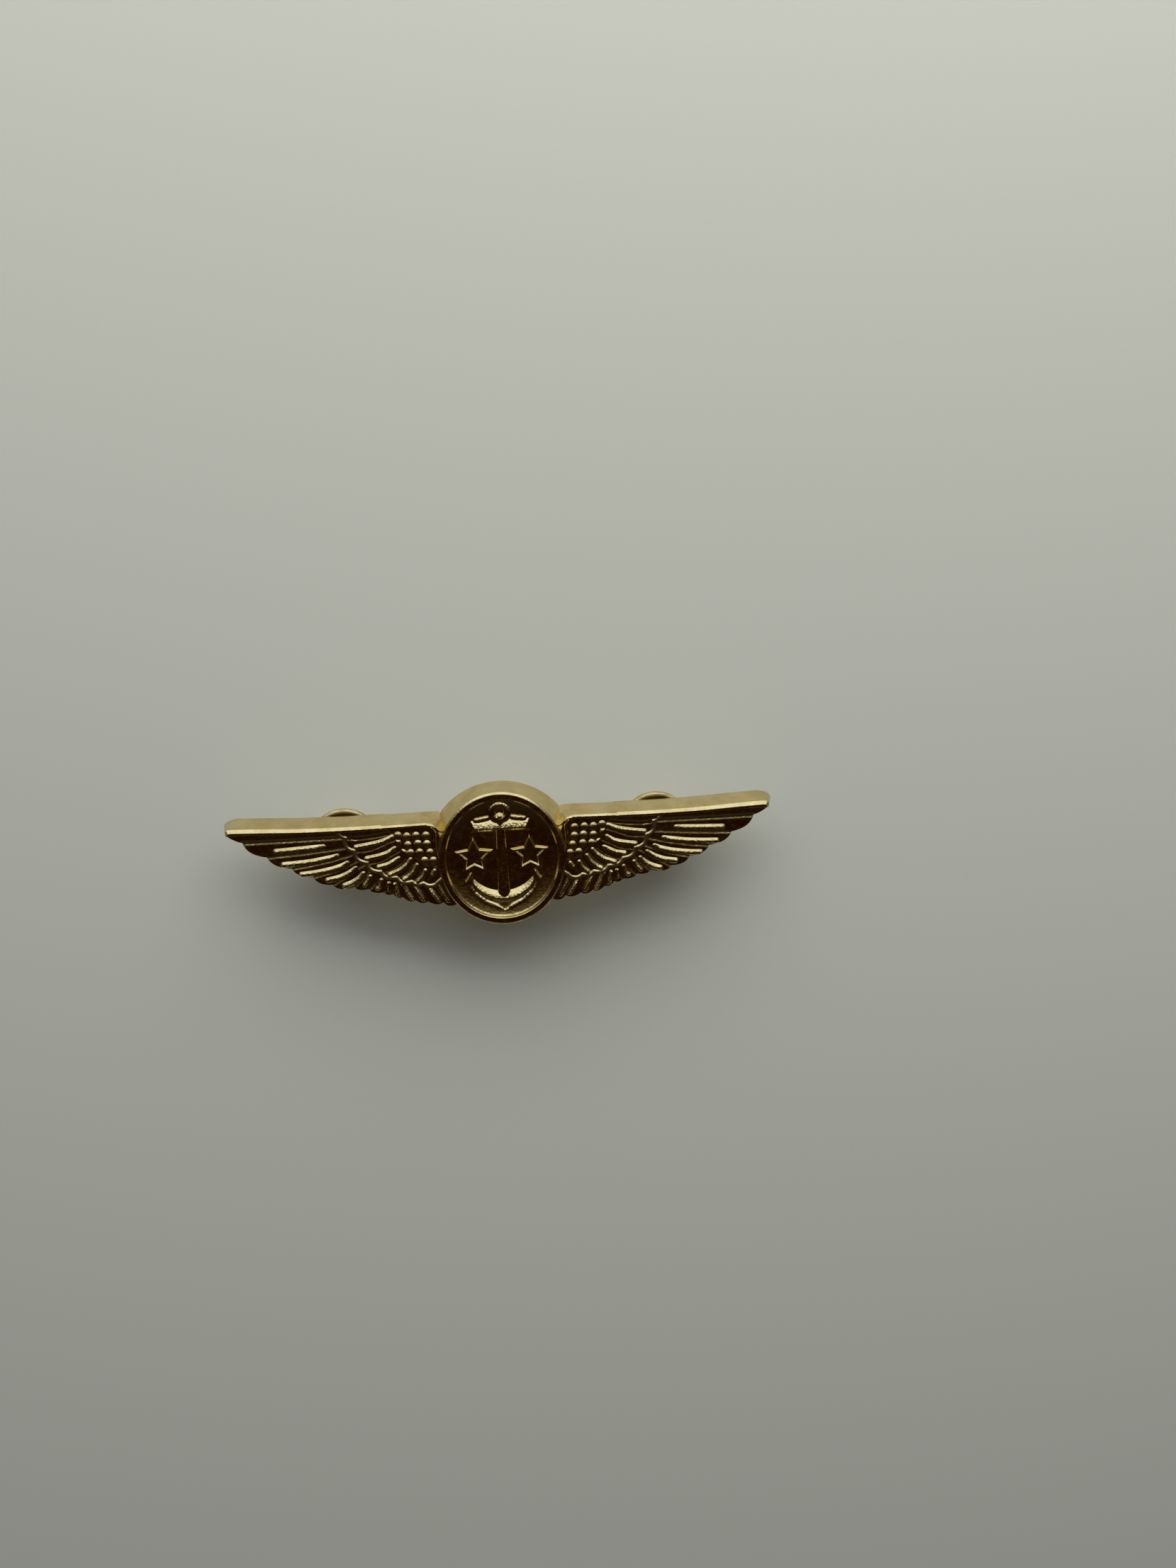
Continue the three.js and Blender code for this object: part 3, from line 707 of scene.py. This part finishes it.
# -------------------- the wing's outlines at each level of its wall
def oval(w):
    """Half width and height of the medallion's wall: w is 0 at the wings' front edge and 1 at the back."""
    return FACE_X + (BOSS_X - FACE_X) * w, FACE_Y + (BOSS_Y - FACE_Y) * w


def oval_x(y, w):
    """Where the medallion's wall is at a height along the badge."""
    half_x, half_y = oval(w)
    return half_x * round_top(y / half_y)


def spread(points, amount):
    """Moves an outline away from the wing's middle line."""
    start, end = np.array(MIDDLE)
    along = end - start
    t = np.clip(((points - start) @ along) / (along @ along), 0, 1)[:, None]
    return points + amount * unit(points - (start + t * along))


class WingOutline:
    def __init__(self):
        self.top = spline(LEADING, 12)
        self.low = scallops(TIP_END, FEATHER_ENDS)[::-1]
        self.tip = scallops(TIP_END, [(*TIP_CORNER, *LEADING[-1])], 24)
        corner = self.tip[np.argmax(self.tip[:, 0])][None]
        self.reach = (TIP_X - corner[0, 0]) / (spread(corner, 1.0) - corner)[0, 0]
        low_x = even(self.low, WING_COLUMNS)[:, 0]
        self.share = (low_x - low_x[0]) / (low_x[-1] - low_x[0])
        k = np.linspace(0, 1, WING_ROWS)
        self.t = 0.55 * k + 0.45 * (0.5 - 0.5 * np.cos(np.pi * k))

    def at(self, w):
        """Bottom, top, medallion and tip sides of the outline, w of the way down the wall."""
        low, top, tip = [spread(line, w * self.reach) for line in (self.low, self.top, self.tip)]
        bottom = self.side(low, self.meet(low, w), tip[0])
        upper = self.side(top, self.meet(top, w), tip[-1])
        y = bottom[0, 1] + (upper[0, 1] - bottom[0, 1]) * self.t
        left = np.c_[oval_x(y, w), y]
        run = even(tip, WING_ROWS * 4)
        right = run[(self.t * (len(run) - 1)).round().astype(int)]
        return bottom, upper, left, right

    def side(self, line, start, end):
        """The stretch of a line from start to end, with a point for each column."""
        x = start[0] + (end[0] - start[0]) * self.share
        points = np.c_[x, np.interp(x, line[:, 0], line[:, 1])]
        points[0] = start
        points[-1] = end
        return points

    def meet(self, line, w):
        """Where an outline leaves the medallion's wall."""
        gap = line[:, 0] - oval_x(line[:, 1], w)
        i = int(np.argmax(gap > 0))
        if i == 0:
            return np.array((oval_x(line[0, 1], w), line[0, 1]))
        share = gap[i - 1] / (gap[i - 1] - gap[i])
        return line[i - 1] + share * (line[i] - line[i - 1])

    def patch(self):
        """Grid of points over the face between the four sides."""
        bottom, top, left, right = self.at(0.0)
        s = np.linspace(0, 1, WING_COLUMNS)[None, :, None]
        t = self.t[:, None, None]
        grid = (1 - t) * bottom[None] + t * top[None] + (1 - s) * left[:, None] + s * right[:, None]
        low_corners = (1 - t) * ((1 - s) * bottom[0] + s * bottom[-1])
        top_corners = t * ((1 - s) * top[0] + s * top[-1])
        return grid - low_corners - top_corners

    def loop(self, w):
        bottom, top, left, right = self.at(w)
        return np.vstack([bottom[:-1], right[:-1], top[::-1][:-1], left[::-1][:-1]])


def edge_drop(x, y, outline):
    """How far the face falls at its rim.

    The leading edge and the tip have a bevel, and the feathers' ends a lip and a small round.
    """
    bottom, top, _, right = outline.at(0.0)
    from_top, _, _ = nearest(x, y, np.vstack([top[::4], even(right, 24)[::-1]]))
    from_corner, corner_side, _ = nearest(x, y, spline(CORNER))
    from_top = np.where(x < CORNER_END_X, np.minimum(from_top, from_corner), from_top)
    width = np.interp(x, BEVEL_X, BEVEL_WIDTHS)
    tip_fade = smooth((y - TIP_END[1] + 0.1) / 0.5)
    width = np.where(x > BEVEL_FADE_X, width * tip_fade, width)
    bevel = BEVEL_SLOPE * np.clip(width - from_top, 0, None)
    cove = BEVEL_SLOPE * width + CORNER_SLOPE * from_corner
    bevel = np.where((corner_side > 0) & (x < CORNER_END_X), cove, bevel)
    from_low, _, _ = nearest(x, y, np.vstack([bottom[::3], even(right, 12)]))
    rounded = RIM_ROUND * (1 - round_top(1 - np.minimum(from_low / RIM_ROUND, 1)))
    lip = LIP_RISE * np.exp(-(((from_low - LIP_INSET) / LIP_WIDTH) ** 2)) * (y < TIP_END[1] - 0.2)
    return np.maximum(bevel, rounded - lip)


def wing_mesh():
    """Points and faces of the right wing, and how matte each point is."""
    outline = WingOutline()
    grid = outline.patch()
    x, y = grid[..., 0].ravel(), grid[..., 1].ravel()
    relief, matte = wing_relief(x, y)
    z = EDGE_Z + relief - edge_drop(x, y, outline)
    index = numbers(*grid.shape[:2])
    rim = np.r_[index[0, :-1], index[:-1, -1], index[-1, ::-1][:-1], index[::-1, 0][:-1]]
    points = [np.c_[x, y, z]]
    rings = [rim]
    for w, shift in WALL_LEVELS:
        loop = outline.loop(w)
        if shift:
            loop = spread(loop, shift)
        points.append(np.c_[loop, z[rim] + (BACK_Z - z[rim]) * w])
        rings.append(len(x) + len(rim) * (len(rings) - 1) + np.arange(len(rim)))
    upper, lower = np.array(rings[:-1]), np.array(rings[1:])
    walls = np.stack([upper, lower, np.roll(lower, -1, 1), np.roll(upper, -1, 1)], -1).reshape(-1, 4).tolist()
    points = np.vstack(points)
    matte = np.r_[matte, np.full(len(points) - len(matte), WALL_MATTE)]
    return points, grid_faces(index) + walls + [rings[-1][::-1].tolist()], matte


def make_wings(material):
    points, faces, matte = wing_mesh()
    for side, sign in reversed(SIDES):
        side_faces = flipped(faces) if side == "left" else faces
        side_points = points * (sign, 1, 1)
        node = f"{side}_wing"
        wing = placed(f"{node}_relief", side_points, side_faces, material, "badge", node)
        set_matte(wing, matte)


# -------------------- medallion
def make_medallion(material):
    rim = np.array(RIM_PROFILE)
    rim_width = rim[-1, 0]
    field = np.linspace(rim_width, FACE_X, FIELD_ROWS)[1:-1]
    inset = np.r_[np.linspace(0, rim_width, RIM_ROWS), field][::-1]
    levels = np.interp(inset, rim[:, 0], rim[:, 1]) + CREST_Z
    rings = [((1 - d / FACE_X) * FACE_X, (1 - d / FACE_X) * FACE_Y, z) for d, z in zip(inset, levels)]
    front = levels[-1]
    for w, shift in WALL_LEVELS:
        half_x, half_y = oval(w)
        rings.append((half_x + shift, half_y + shift, front + (BACK_Z - front) * w))
    angle = np.linspace(0, 2 * np.pi, MEDALLION_SIDES, endpoint=False)
    half_x, half_y, z = np.array(rings).T[:, :, None]
    points = np.stack([half_x * np.cos(angle), half_y * np.sin(angle), z + 0 * angle], -1).reshape(-1, 3)
    faces = flipped(capped_tube(numbers(len(rings), MEDALLION_SIDES)))
    boss = placed("medallion_relief", points, faces, material, "badge", "medallion")
    matte = np.r_[np.zeros(len(inset)), np.full(len(WALL_LEVELS), WALL_MATTE)]
    set_matte(boss, np.repeat(matte, MEDALLION_SIDES))


# -------------------- raised pieces on the medallion
def slopes(height, x, y, step):
    across = (height(x + step, y) - height(x - step, y)) / (2 * step)
    along = (height(x, y + step) - height(x, y - step)) / (2 * step)
    return across, along


def around(cells):
    """The corners of the cells that are in use."""
    corners = np.zeros((cells.shape[0] + 1, cells.shape[1] + 1), bool)
    for rows in (slice(None, -1), slice(1, None)):
        for columns in (slice(None, -1), slice(1, None)):
            corners[rows, columns] |= cells
    return corners


def raised(node, low, high, height, step, material):
    """A closed piece under a height function, from just below the field up.

    The grid's points just outside its edge are pulled in to the contour that lies SKIRT below the field.
    """
    x, y = np.meshgrid(np.arange(low[0], high[0] + step, step), np.arange(low[1], high[1] + step, step))
    f = height(x, y)
    keep = f > -SKIRT
    cells = keep[:-1, :-1] | keep[:-1, 1:] | keep[1:, 1:] | keep[1:, :-1]
    for _ in range(6):
        across, along = slopes(height, x, y, step / 4)
        pull = np.where(keep, 0, (-SKIRT - f) / np.maximum(across * across + along * along, 0.2))
        x = x + np.clip(across * pull, -step, step)
        y = y + np.clip(along * pull, -step, step)
        f = height(x, y)
    f = np.where(keep, np.maximum(f, -SKIRT), -SKIRT)
    used = around(cells)
    count = used.sum()
    index = np.zeros(x.shape, int)
    index[used] = np.arange(count)
    top = np.c_[x[used], y[used], FIELD_Z + f[used]]
    bottom = np.c_[x[used], y[used], np.full(count, FIELD_Z - SKIRT - SKIRT_FLOOR)]
    quads = np.array(grid_faces(index))[cells.ravel()]
    edges = np.concatenate([quads[:, [i, (i + 1) % 4]] for i in range(4)])
    pairs = set(map(tuple, edges.tolist()))
    rim = [(i, j) for i, j in pairs if (j, i) not in pairs]
    faces = quads.tolist() + (quads[:, ::-1] + count).tolist()
    faces += [[j, i, i + count, j + count] for i, j in rim]
    placed(f"{node}_relief", np.vstack([top, bottom]), faces, material, "badge", node)


def dome(inside, width, rise):
    """Height over a shape: rises from its edge over width and is round on top; falls away outside."""
    up = rise * round_top(1 - np.clip(inside / width, 0, 1))
    return np.where(inside > 0, up, FALL * inside)


def crown(inside, slope, rise):
    """Height over a shape: climbs at slope from its edge and eases off toward rise; falls away outside."""
    up = rise * (1 - np.exp(-slope * np.maximum(inside, 0) / rise))
    return np.where(inside > 0, up, FALL * inside)


def bar_inside(x, y, a, b, half_a, half_b):
    """Distance inside a tapered round-ended bar from a to b."""
    ux, uy = b[0] - a[0], b[1] - a[1]
    t = np.clip(((x - a[0]) * ux + (y - a[1]) * uy) / (ux * ux + uy * uy), 0, 1)
    return half_a + (half_b - half_a) * t - np.hypot(x - a[0] - t * ux, y - a[1] - t * uy)


def line_inside(x, y, line, halves):
    """Distance inside a band along a line whose half width varies evenly from point to point."""
    bars = zip(line[:-1], line[1:], halves[:-1], halves[1:])
    return np.maximum.reduce([bar_inside(x, y, *bar) for bar in bars])


def anchor_height(x, y):
    from_ring = np.hypot(x - RING[0], y - RING[1])
    top_slope, bottom_slope, end_slope = STOCK_SLOPES
    facets = [
        top_slope * (STOCK_TOP - y),
        bottom_slope * (y - STOCK_BOTTOM),
        end_slope * (STOCK_HALF - np.abs(x)),
    ]
    turn = np.radians(np.linspace(*ARMS_TURN, ARMS_STEPS))
    arms = np.c_[ARMS_RADIUS * np.cos(turn), ARMS_Y + ARMS_RADIUS * np.sin(turn)]
    arm_halves = 0.30 + 0.62 * np.sin(np.linspace(0, np.pi, ARMS_STEPS)) ** 0.8
    height = np.maximum.reduce([
        dome(RING_HALF - np.abs(from_ring - RING_RADIUS), RING_HALF, RING_RISE),
        dome(COLLAR_RADIUS - from_ring, 0.3, 0.12),
        crown(np.minimum.reduce(facets), 1.25, 0.85),
        dome(bar_inside(np.abs(x), y, *LOBE), 0.4, 0.3),
        dome(bar_inside(x, y, *SHANK), 0.75, 0.46),
        crown(line_inside(x, y, arms, arm_halves), 0.95, 0.85),
        dome(line_inside(x, y, KEEL, KEEL_HALVES), 0.5, 0.40),
        dome(bar_inside(np.abs(x), y, *FLUKE), 0.5, 0.45),
    ])
    return height + CAST_WAVE * casting(x, y) * np.clip(height / 0.3, 0, 1)


def star_inside(x, y):
    """Distance inside a five-pointed star about the origin with one arm up."""
    sector = math.pi / 5
    turn = np.arctan2(x, y) % (2 * sector)
    turn = np.minimum(turn, 2 * sector - turn)
    radius = np.hypot(x, y)
    along, across = radius * np.cos(turn), radius * np.sin(turn)
    edge_x = STAR_WAIST * STAR_RADIUS * math.cos(sector) - STAR_RADIUS
    edge_y = STAR_WAIST * STAR_RADIUS * math.sin(sector)
    return (edge_x * across - edge_y * (along - STAR_RADIUS)) / math.hypot(edge_x, edge_y)


def star_height(x, y):
    """Five-pointed star: a low face inside a rounded border."""
    inside = star_inside(x, y)
    border = STAR_RISE * round_top((inside - STAR_BORDER) / STAR_BORDER)
    face = STAR_FACE * smooth(inside / STAR_BORDER)
    return np.where(inside > 0, np.maximum(border, face), STAR_FALL * inside)


def make_motifs(material):
    raised("anchor", ANCHOR_LOW, ANCHOR_HIGH, anchor_height, ANCHOR_STEP, material)
    for side, sign in SIDES:
        centre = np.array((sign * STAR_X, STAR_Y))

        def height(x, y):
            return star_height(x - centre[0], y - centre[1])

        raised(f"{side}_star", centre - STAR_ROOM, centre + STAR_ROOM, height, STAR_STEP, material)


# -------------------- turned pieces: clutch, post and solder
def turned(profile, sides, centre, ripple=None):
    """Points of a turned piece and their numbers; profile is a run of (radius, height)."""
    profile = np.array(profile, float)
    angle = np.linspace(0, 2 * np.pi, sides, endpoint=False)
    radius = profile[:, :1] * np.ones(sides)
    height = profile[:, 1:] * np.ones(sides)
    if ripple is not None:
        radius, height = ripple(radius, height, angle)
    x = centre[0] + radius * np.cos(angle)
    y = centre[1] + radius * np.sin(angle)
    points = np.stack([x, y, centre[2] + height], -1).reshape(-1, 3)
    return points, numbers(len(profile), sides)


def hoop_faces(index):
    """Faces of a turned piece whose profile closes on itself."""
    return grid_faces(np.vstack([index, index[:1]]), wrap=True)


def base_profile():
    """Dished disc with a pressed ring round its hole and a rolled rim."""
    roll = CLUTCH_RADIUS - RIM_ROLL
    inner = roll - RIM_ROLL
    return [
        (HOLE_RADIUS, DISH_FLOOR - HOLE_EDGE), (HOLE_RADIUS + HOLE_EDGE, DISH_FLOOR),
        *[(r, DISH_FLOOR + h) for r, h in PRESSED_RING],
        *[(r, DISH_FLOOR) for r in DISH_FLAT],
        (3.45, DISH_FLOOR + 0.04), (inner - 0.1, DISH_FLOOR + 0.13),
        *arc((roll, CLUTCH_TOP - RIM_ROLL), RIM_ROLL, 158, -165, 26),
        (inner - 0.06, DISH_FLOOR - 0.1), (inner - 0.16, BASE_LOW + 0.1), (inner - 0.24, BASE_LOW),
        *[(r, BASE_LOW) for r in DISH_FLAT[::-1]],
        *[(r, BASE_LOW + h) for r, h in PRESSED_RING[::-1]],
        (HOLE_RADIUS + HOLE_EDGE, BASE_LOW), (HOLE_RADIUS, BASE_LOW + HOLE_EDGE),
    ]


def dimples(radius, height, angle):
    """A ring of dimples pressed up through the dish's floor."""
    pitch = 2 * math.pi / DIMPLES
    across = ((angle + pitch / 2) % pitch - pitch / 2) * radius
    bump = np.exp(-((radius - DIMPLE_RING) ** 2 + across**2) / DIMPLE_RADIUS**2)
    return radius, height + DIMPLE_RISE * bump


def cover_profile():
    """Cup with a lip turned up round its hole."""
    inner = COVER_RADIUS - SHEET
    floor = COVER_LOW + SHEET
    return [
        (HOLE_RADIUS, floor - HOLE_EDGE), (HOLE_RADIUS + HOLE_EDGE, floor), (inner - COVER_HOLLOW, floor),
        *arc((inner - COVER_HOLLOW, floor + COVER_HOLLOW), COVER_HOLLOW, -80, 0, 6),
        (inner, COVER_TOP - 0.05), (inner + 0.05, COVER_TOP), (COVER_RADIUS - 0.05, COVER_TOP),
        (COVER_RADIUS, COVER_TOP - 0.05),
        *arc((COVER_RADIUS - COVER_CURVE, COVER_LOW + COVER_CURVE), COVER_CURVE, 0, -90, 10),
        *[(r, COVER_LOW) for r in COVER_FLAT],
        (1.15, COVER_LOW + 0.05), (1.05, COVER_LOW + COVER_LIP),
        (HOLE_RADIUS + HOLE_EDGE, COVER_LOW + COVER_LIP), (HOLE_RADIUS, COVER_LOW + 0.13),
    ]


def post_profile():
    """Point, neck groove, shank and head, from the point up."""
    shank = POST_RADIUS
    return [
        (0.07, POST_LOW + 0.01), (0.14, POST_LOW + 0.06), (0.24, POST_LOW + 0.3), (NECK, POST_LOW + 0.9),
        (shank - 0.03, POST_LOW + 1.02), (shank, POST_LOW + 1.08), (shank, POST_LOW + 1.45),
        (shank - 0.03, POST_LOW + 1.5), (NECK + 0.02, POST_LOW + 1.6), (NECK, POST_LOW + 1.65),
        (NECK, POST_LOW + 1.85), (NECK + 0.02, POST_LOW + 1.9), (shank - 0.03, POST_LOW + 2.0),
        (shank, POST_LOW + 2.05), (shank, HEAD_LOW - 0.12), (shank + 0.03, HEAD_LOW - 0.03),
        (shank + 0.11, HEAD_LOW), (HEAD_RADIUS - 0.06, HEAD_LOW), (HEAD_RADIUS, HEAD_LOW + 0.05),
        (HEAD_RADIUS, POST_TOP),
    ]


def solder_profile():
    """Fillet round the post's head."""
    inner = HEAD_RADIUS + 0.02
    outer = SOLDER_RADIUS - 0.02
    return [
        (inner, SOLDER_TOP), (inner, SOLDER_LOW), (inner + 0.04, SOLDER_LOW + 0.015),
        (inner + 0.1, SOLDER_LOW + 0.06), (inner + 0.2, SOLDER_LOW + 0.115),
        (inner + 0.32, SOLDER_LOW + 0.15), (outer, SOLDER_TOP - 0.015), (outer, SOLDER_TOP),
    ]


def lumps(radius, height, angle):
    """Uneven outer edge of the solder."""
    share = (radius - HEAD_RADIUS) / (SOLDER_RADIUS - HEAD_RADIUS)
    wave = np.cos(3 * angle + 0.6) + 0.7 * np.cos(7 * angle) + 0.5 * np.cos(11 * angle + 2)
    return radius - 0.035 * share * (2.2 - wave) / 2, height


# -------------------- grip spring and ears
def spring_path():
    """Hairpin: two straight legs either side of the post, and the bend that joins them."""
    leg = POST_RADIUS + WIRE + 0.03
    bend = leg - SPRING_END
    turn = np.radians(np.linspace(90, 270, 24))
    top = [(x, leg) for x in np.linspace(SPRING_END, bend, 12, endpoint=False)]
    low = [(x, -leg) for x in np.linspace(bend, SPRING_END, 13)[1:]]
    return np.array([*top, *zip(bend + leg * np.cos(turn), leg * np.sin(turn)), *low])


def spring_mesh(sides=16):
    """Points and faces of the round wire along the spring's path, with flat ends."""
    path = spring_path()
    along = unit(np.gradient(path, axis=0))
    across = np.c_[-along[:, 1], along[:, 0]]
    turn = np.linspace(0, 2 * np.pi, sides, endpoint=False)
    flat = path[:, None] + WIRE * np.cos(turn)[None, :, None] * across[:, None]
    up = WIRE * np.sin(turn)[None, :, None] * np.ones((len(path), 1, 1))
    points = np.concatenate([flat, up], -1).reshape(-1, 3)
    return points, flipped(capped_tube(numbers(len(path), sides)))


def ear_curve(steps):
    """Middle line of the ear's sheet as (reach from the post's axis, height)."""
    a = np.array((KNUCKLE_X, KNUCKLE_Z))
    b = np.array((KNUCKLE_X + 0.9, KNUCKLE_Z - 1.7))
    c = np.array((KNUCKLE_X + 1.4, EAR_LOW + 0.6))
    d = np.array((KNUCKLE_X + EAR_REACH, EAR_LOW + EAR_SHEET / 2))
    t = np.linspace(0, 1, steps)[:, None]
    return (1 - t) ** 3 * a + 3 * t * (1 - t) ** 2 * b + 3 * t**2 * (1 - t) * c + t**3 * d


def tongue_mesh(steps=72, sides=48):
    """The ear's springy tongue: ribbed across its middle, with a round end."""
    line = ear_curve(steps)
    along = unit(np.gradient(line, axis=0))
    normal = np.c_[-along[:, 1], along[:, 0]]
    share = np.linspace(0, 1, steps)
    ribs = smooth((share - 0.42) / 0.1) * smooth((0.84 - share) / 0.1) * np.sin((share - 0.42) * 70)
    line = line + 0.05 * normal * ribs[:, None]
    corner = 1.6
    from_tip = line[:, 1] - (EAR_LOW - 0.1)
    pull = np.clip(1 - np.sqrt(np.clip(from_tip / corner, 0, None)), 0, 1)
    half_width = EAR_WIDTH / 2 - corner * pull**2
    thinning = ((share - 0.965) / 0.04).clip(0, 0.95)
    half_sheet = EAR_SHEET / 2 * np.sqrt(np.clip(1 - thinning**2, 0.02, 1))
    turn = np.linspace(0, 2 * np.pi, sides, endpoint=False)
    u = np.sign(np.cos(turn)) * np.abs(np.cos(turn)) ** 0.16
    v = np.sign(np.sin(turn)) * np.abs(np.sin(turn)) ** 0.55
    centre = line[:, None] + half_sheet[:, None, None] * v[None, :, None] * normal[:, None]
    points = np.stack([centre[..., 0], half_width[:, None] * u, centre[..., 1]], -1).reshape(-1, 3)
    return points, capped_tube(numbers(steps, sides))


def knuckle_mesh(sides=32):
    """The ear's rolled end, lying across it."""
    half = EAR_WIDTH / 2
    edge = 0.06
    profile = [
        (KNUCKLE - edge, -half), (KNUCKLE, edge - half), (KNUCKLE, half - edge), (KNUCKLE - edge, half),
    ]
    roll, index = turned(profile, sides, (0, 0, 0))
    points = np.c_[KNUCKLE_X + roll[:, 0], roll[:, 2], KNUCKLE_Z - roll[:, 1]]
    return points, capped_tube(index)


def ear_mesh():
    """Points and faces of one ear on the +X side."""
    tongue, tongue_faces = tongue_mesh()
    knuckle, knuckle_faces = knuckle_mesh()
    knuckle_faces = [[i + len(tongue) for i in face] for face in knuckle_faces]
    return np.vstack([tongue, knuckle]), tongue_faces + knuckle_faces


# -------------------- both sides' fixings
def make_turned_pieces(side, centre, metals):
    """Each row: node, profile, faces, body, metal, slot, sides and ripple."""
    clutch = f"{side}_clutch"
    rows = [
        ("post", post_profile(), capped_tube, "badge", "post_brass", "post_gold", 64, None),
        ("post_solder", solder_profile(), hoop_faces, "badge", "grey_solder", "solder", 144, lumps),
        ("clutch_base", base_profile(), hoop_faces, clutch, "clutch_brass", "clutch_gold", 192, dimples),
        ("clutch_cover", cover_profile(), hoop_faces, clutch, "clutch_brass", "clutch_gold", 128, None),
    ]
    for piece, profile, faces_of, body, metal_name, slot, sides, ripple in rows:
        node = f"{side}_{piece}"
        points, index = turned(profile, sides, centre, ripple)
        placed(f"{node}_fine", points, faces_of(index), metals[metal_name], body, node)


def make_fixings(side, sign, metals):
    centre = np.array((sign * POST_X, POST_Y, 0))
    make_turned_pieces(side, centre, metals)
    points, faces = spring_mesh()
    node = f"{side}_grip_spring"
    points = points + centre + (0, 0, SPRING_Z)
    placed(f"{node}_fine", points, faces, metals["spring_steel"], f"{side}_clutch", node)
    points, faces = ear_mesh()
    for place, way in (("outer", sign), ("inner", -sign)):
        node = f"{side}_{place}_ear"
        ear = points * (way, way, 1) + centre
        placed(f"{node}_fine", ear, faces, metals["clutch_brass"], node, node)


add_camera()
add_stage()
add_light()
metals = {name: metal(name, *values) for name, values in METALS.items()}
make_wings(metals["plated_gold"])
make_medallion(metals["plated_gold"])
make_motifs(metals["plated_gold"])
for side, sign in SIDES:
    make_fixings(side, sign, metals)
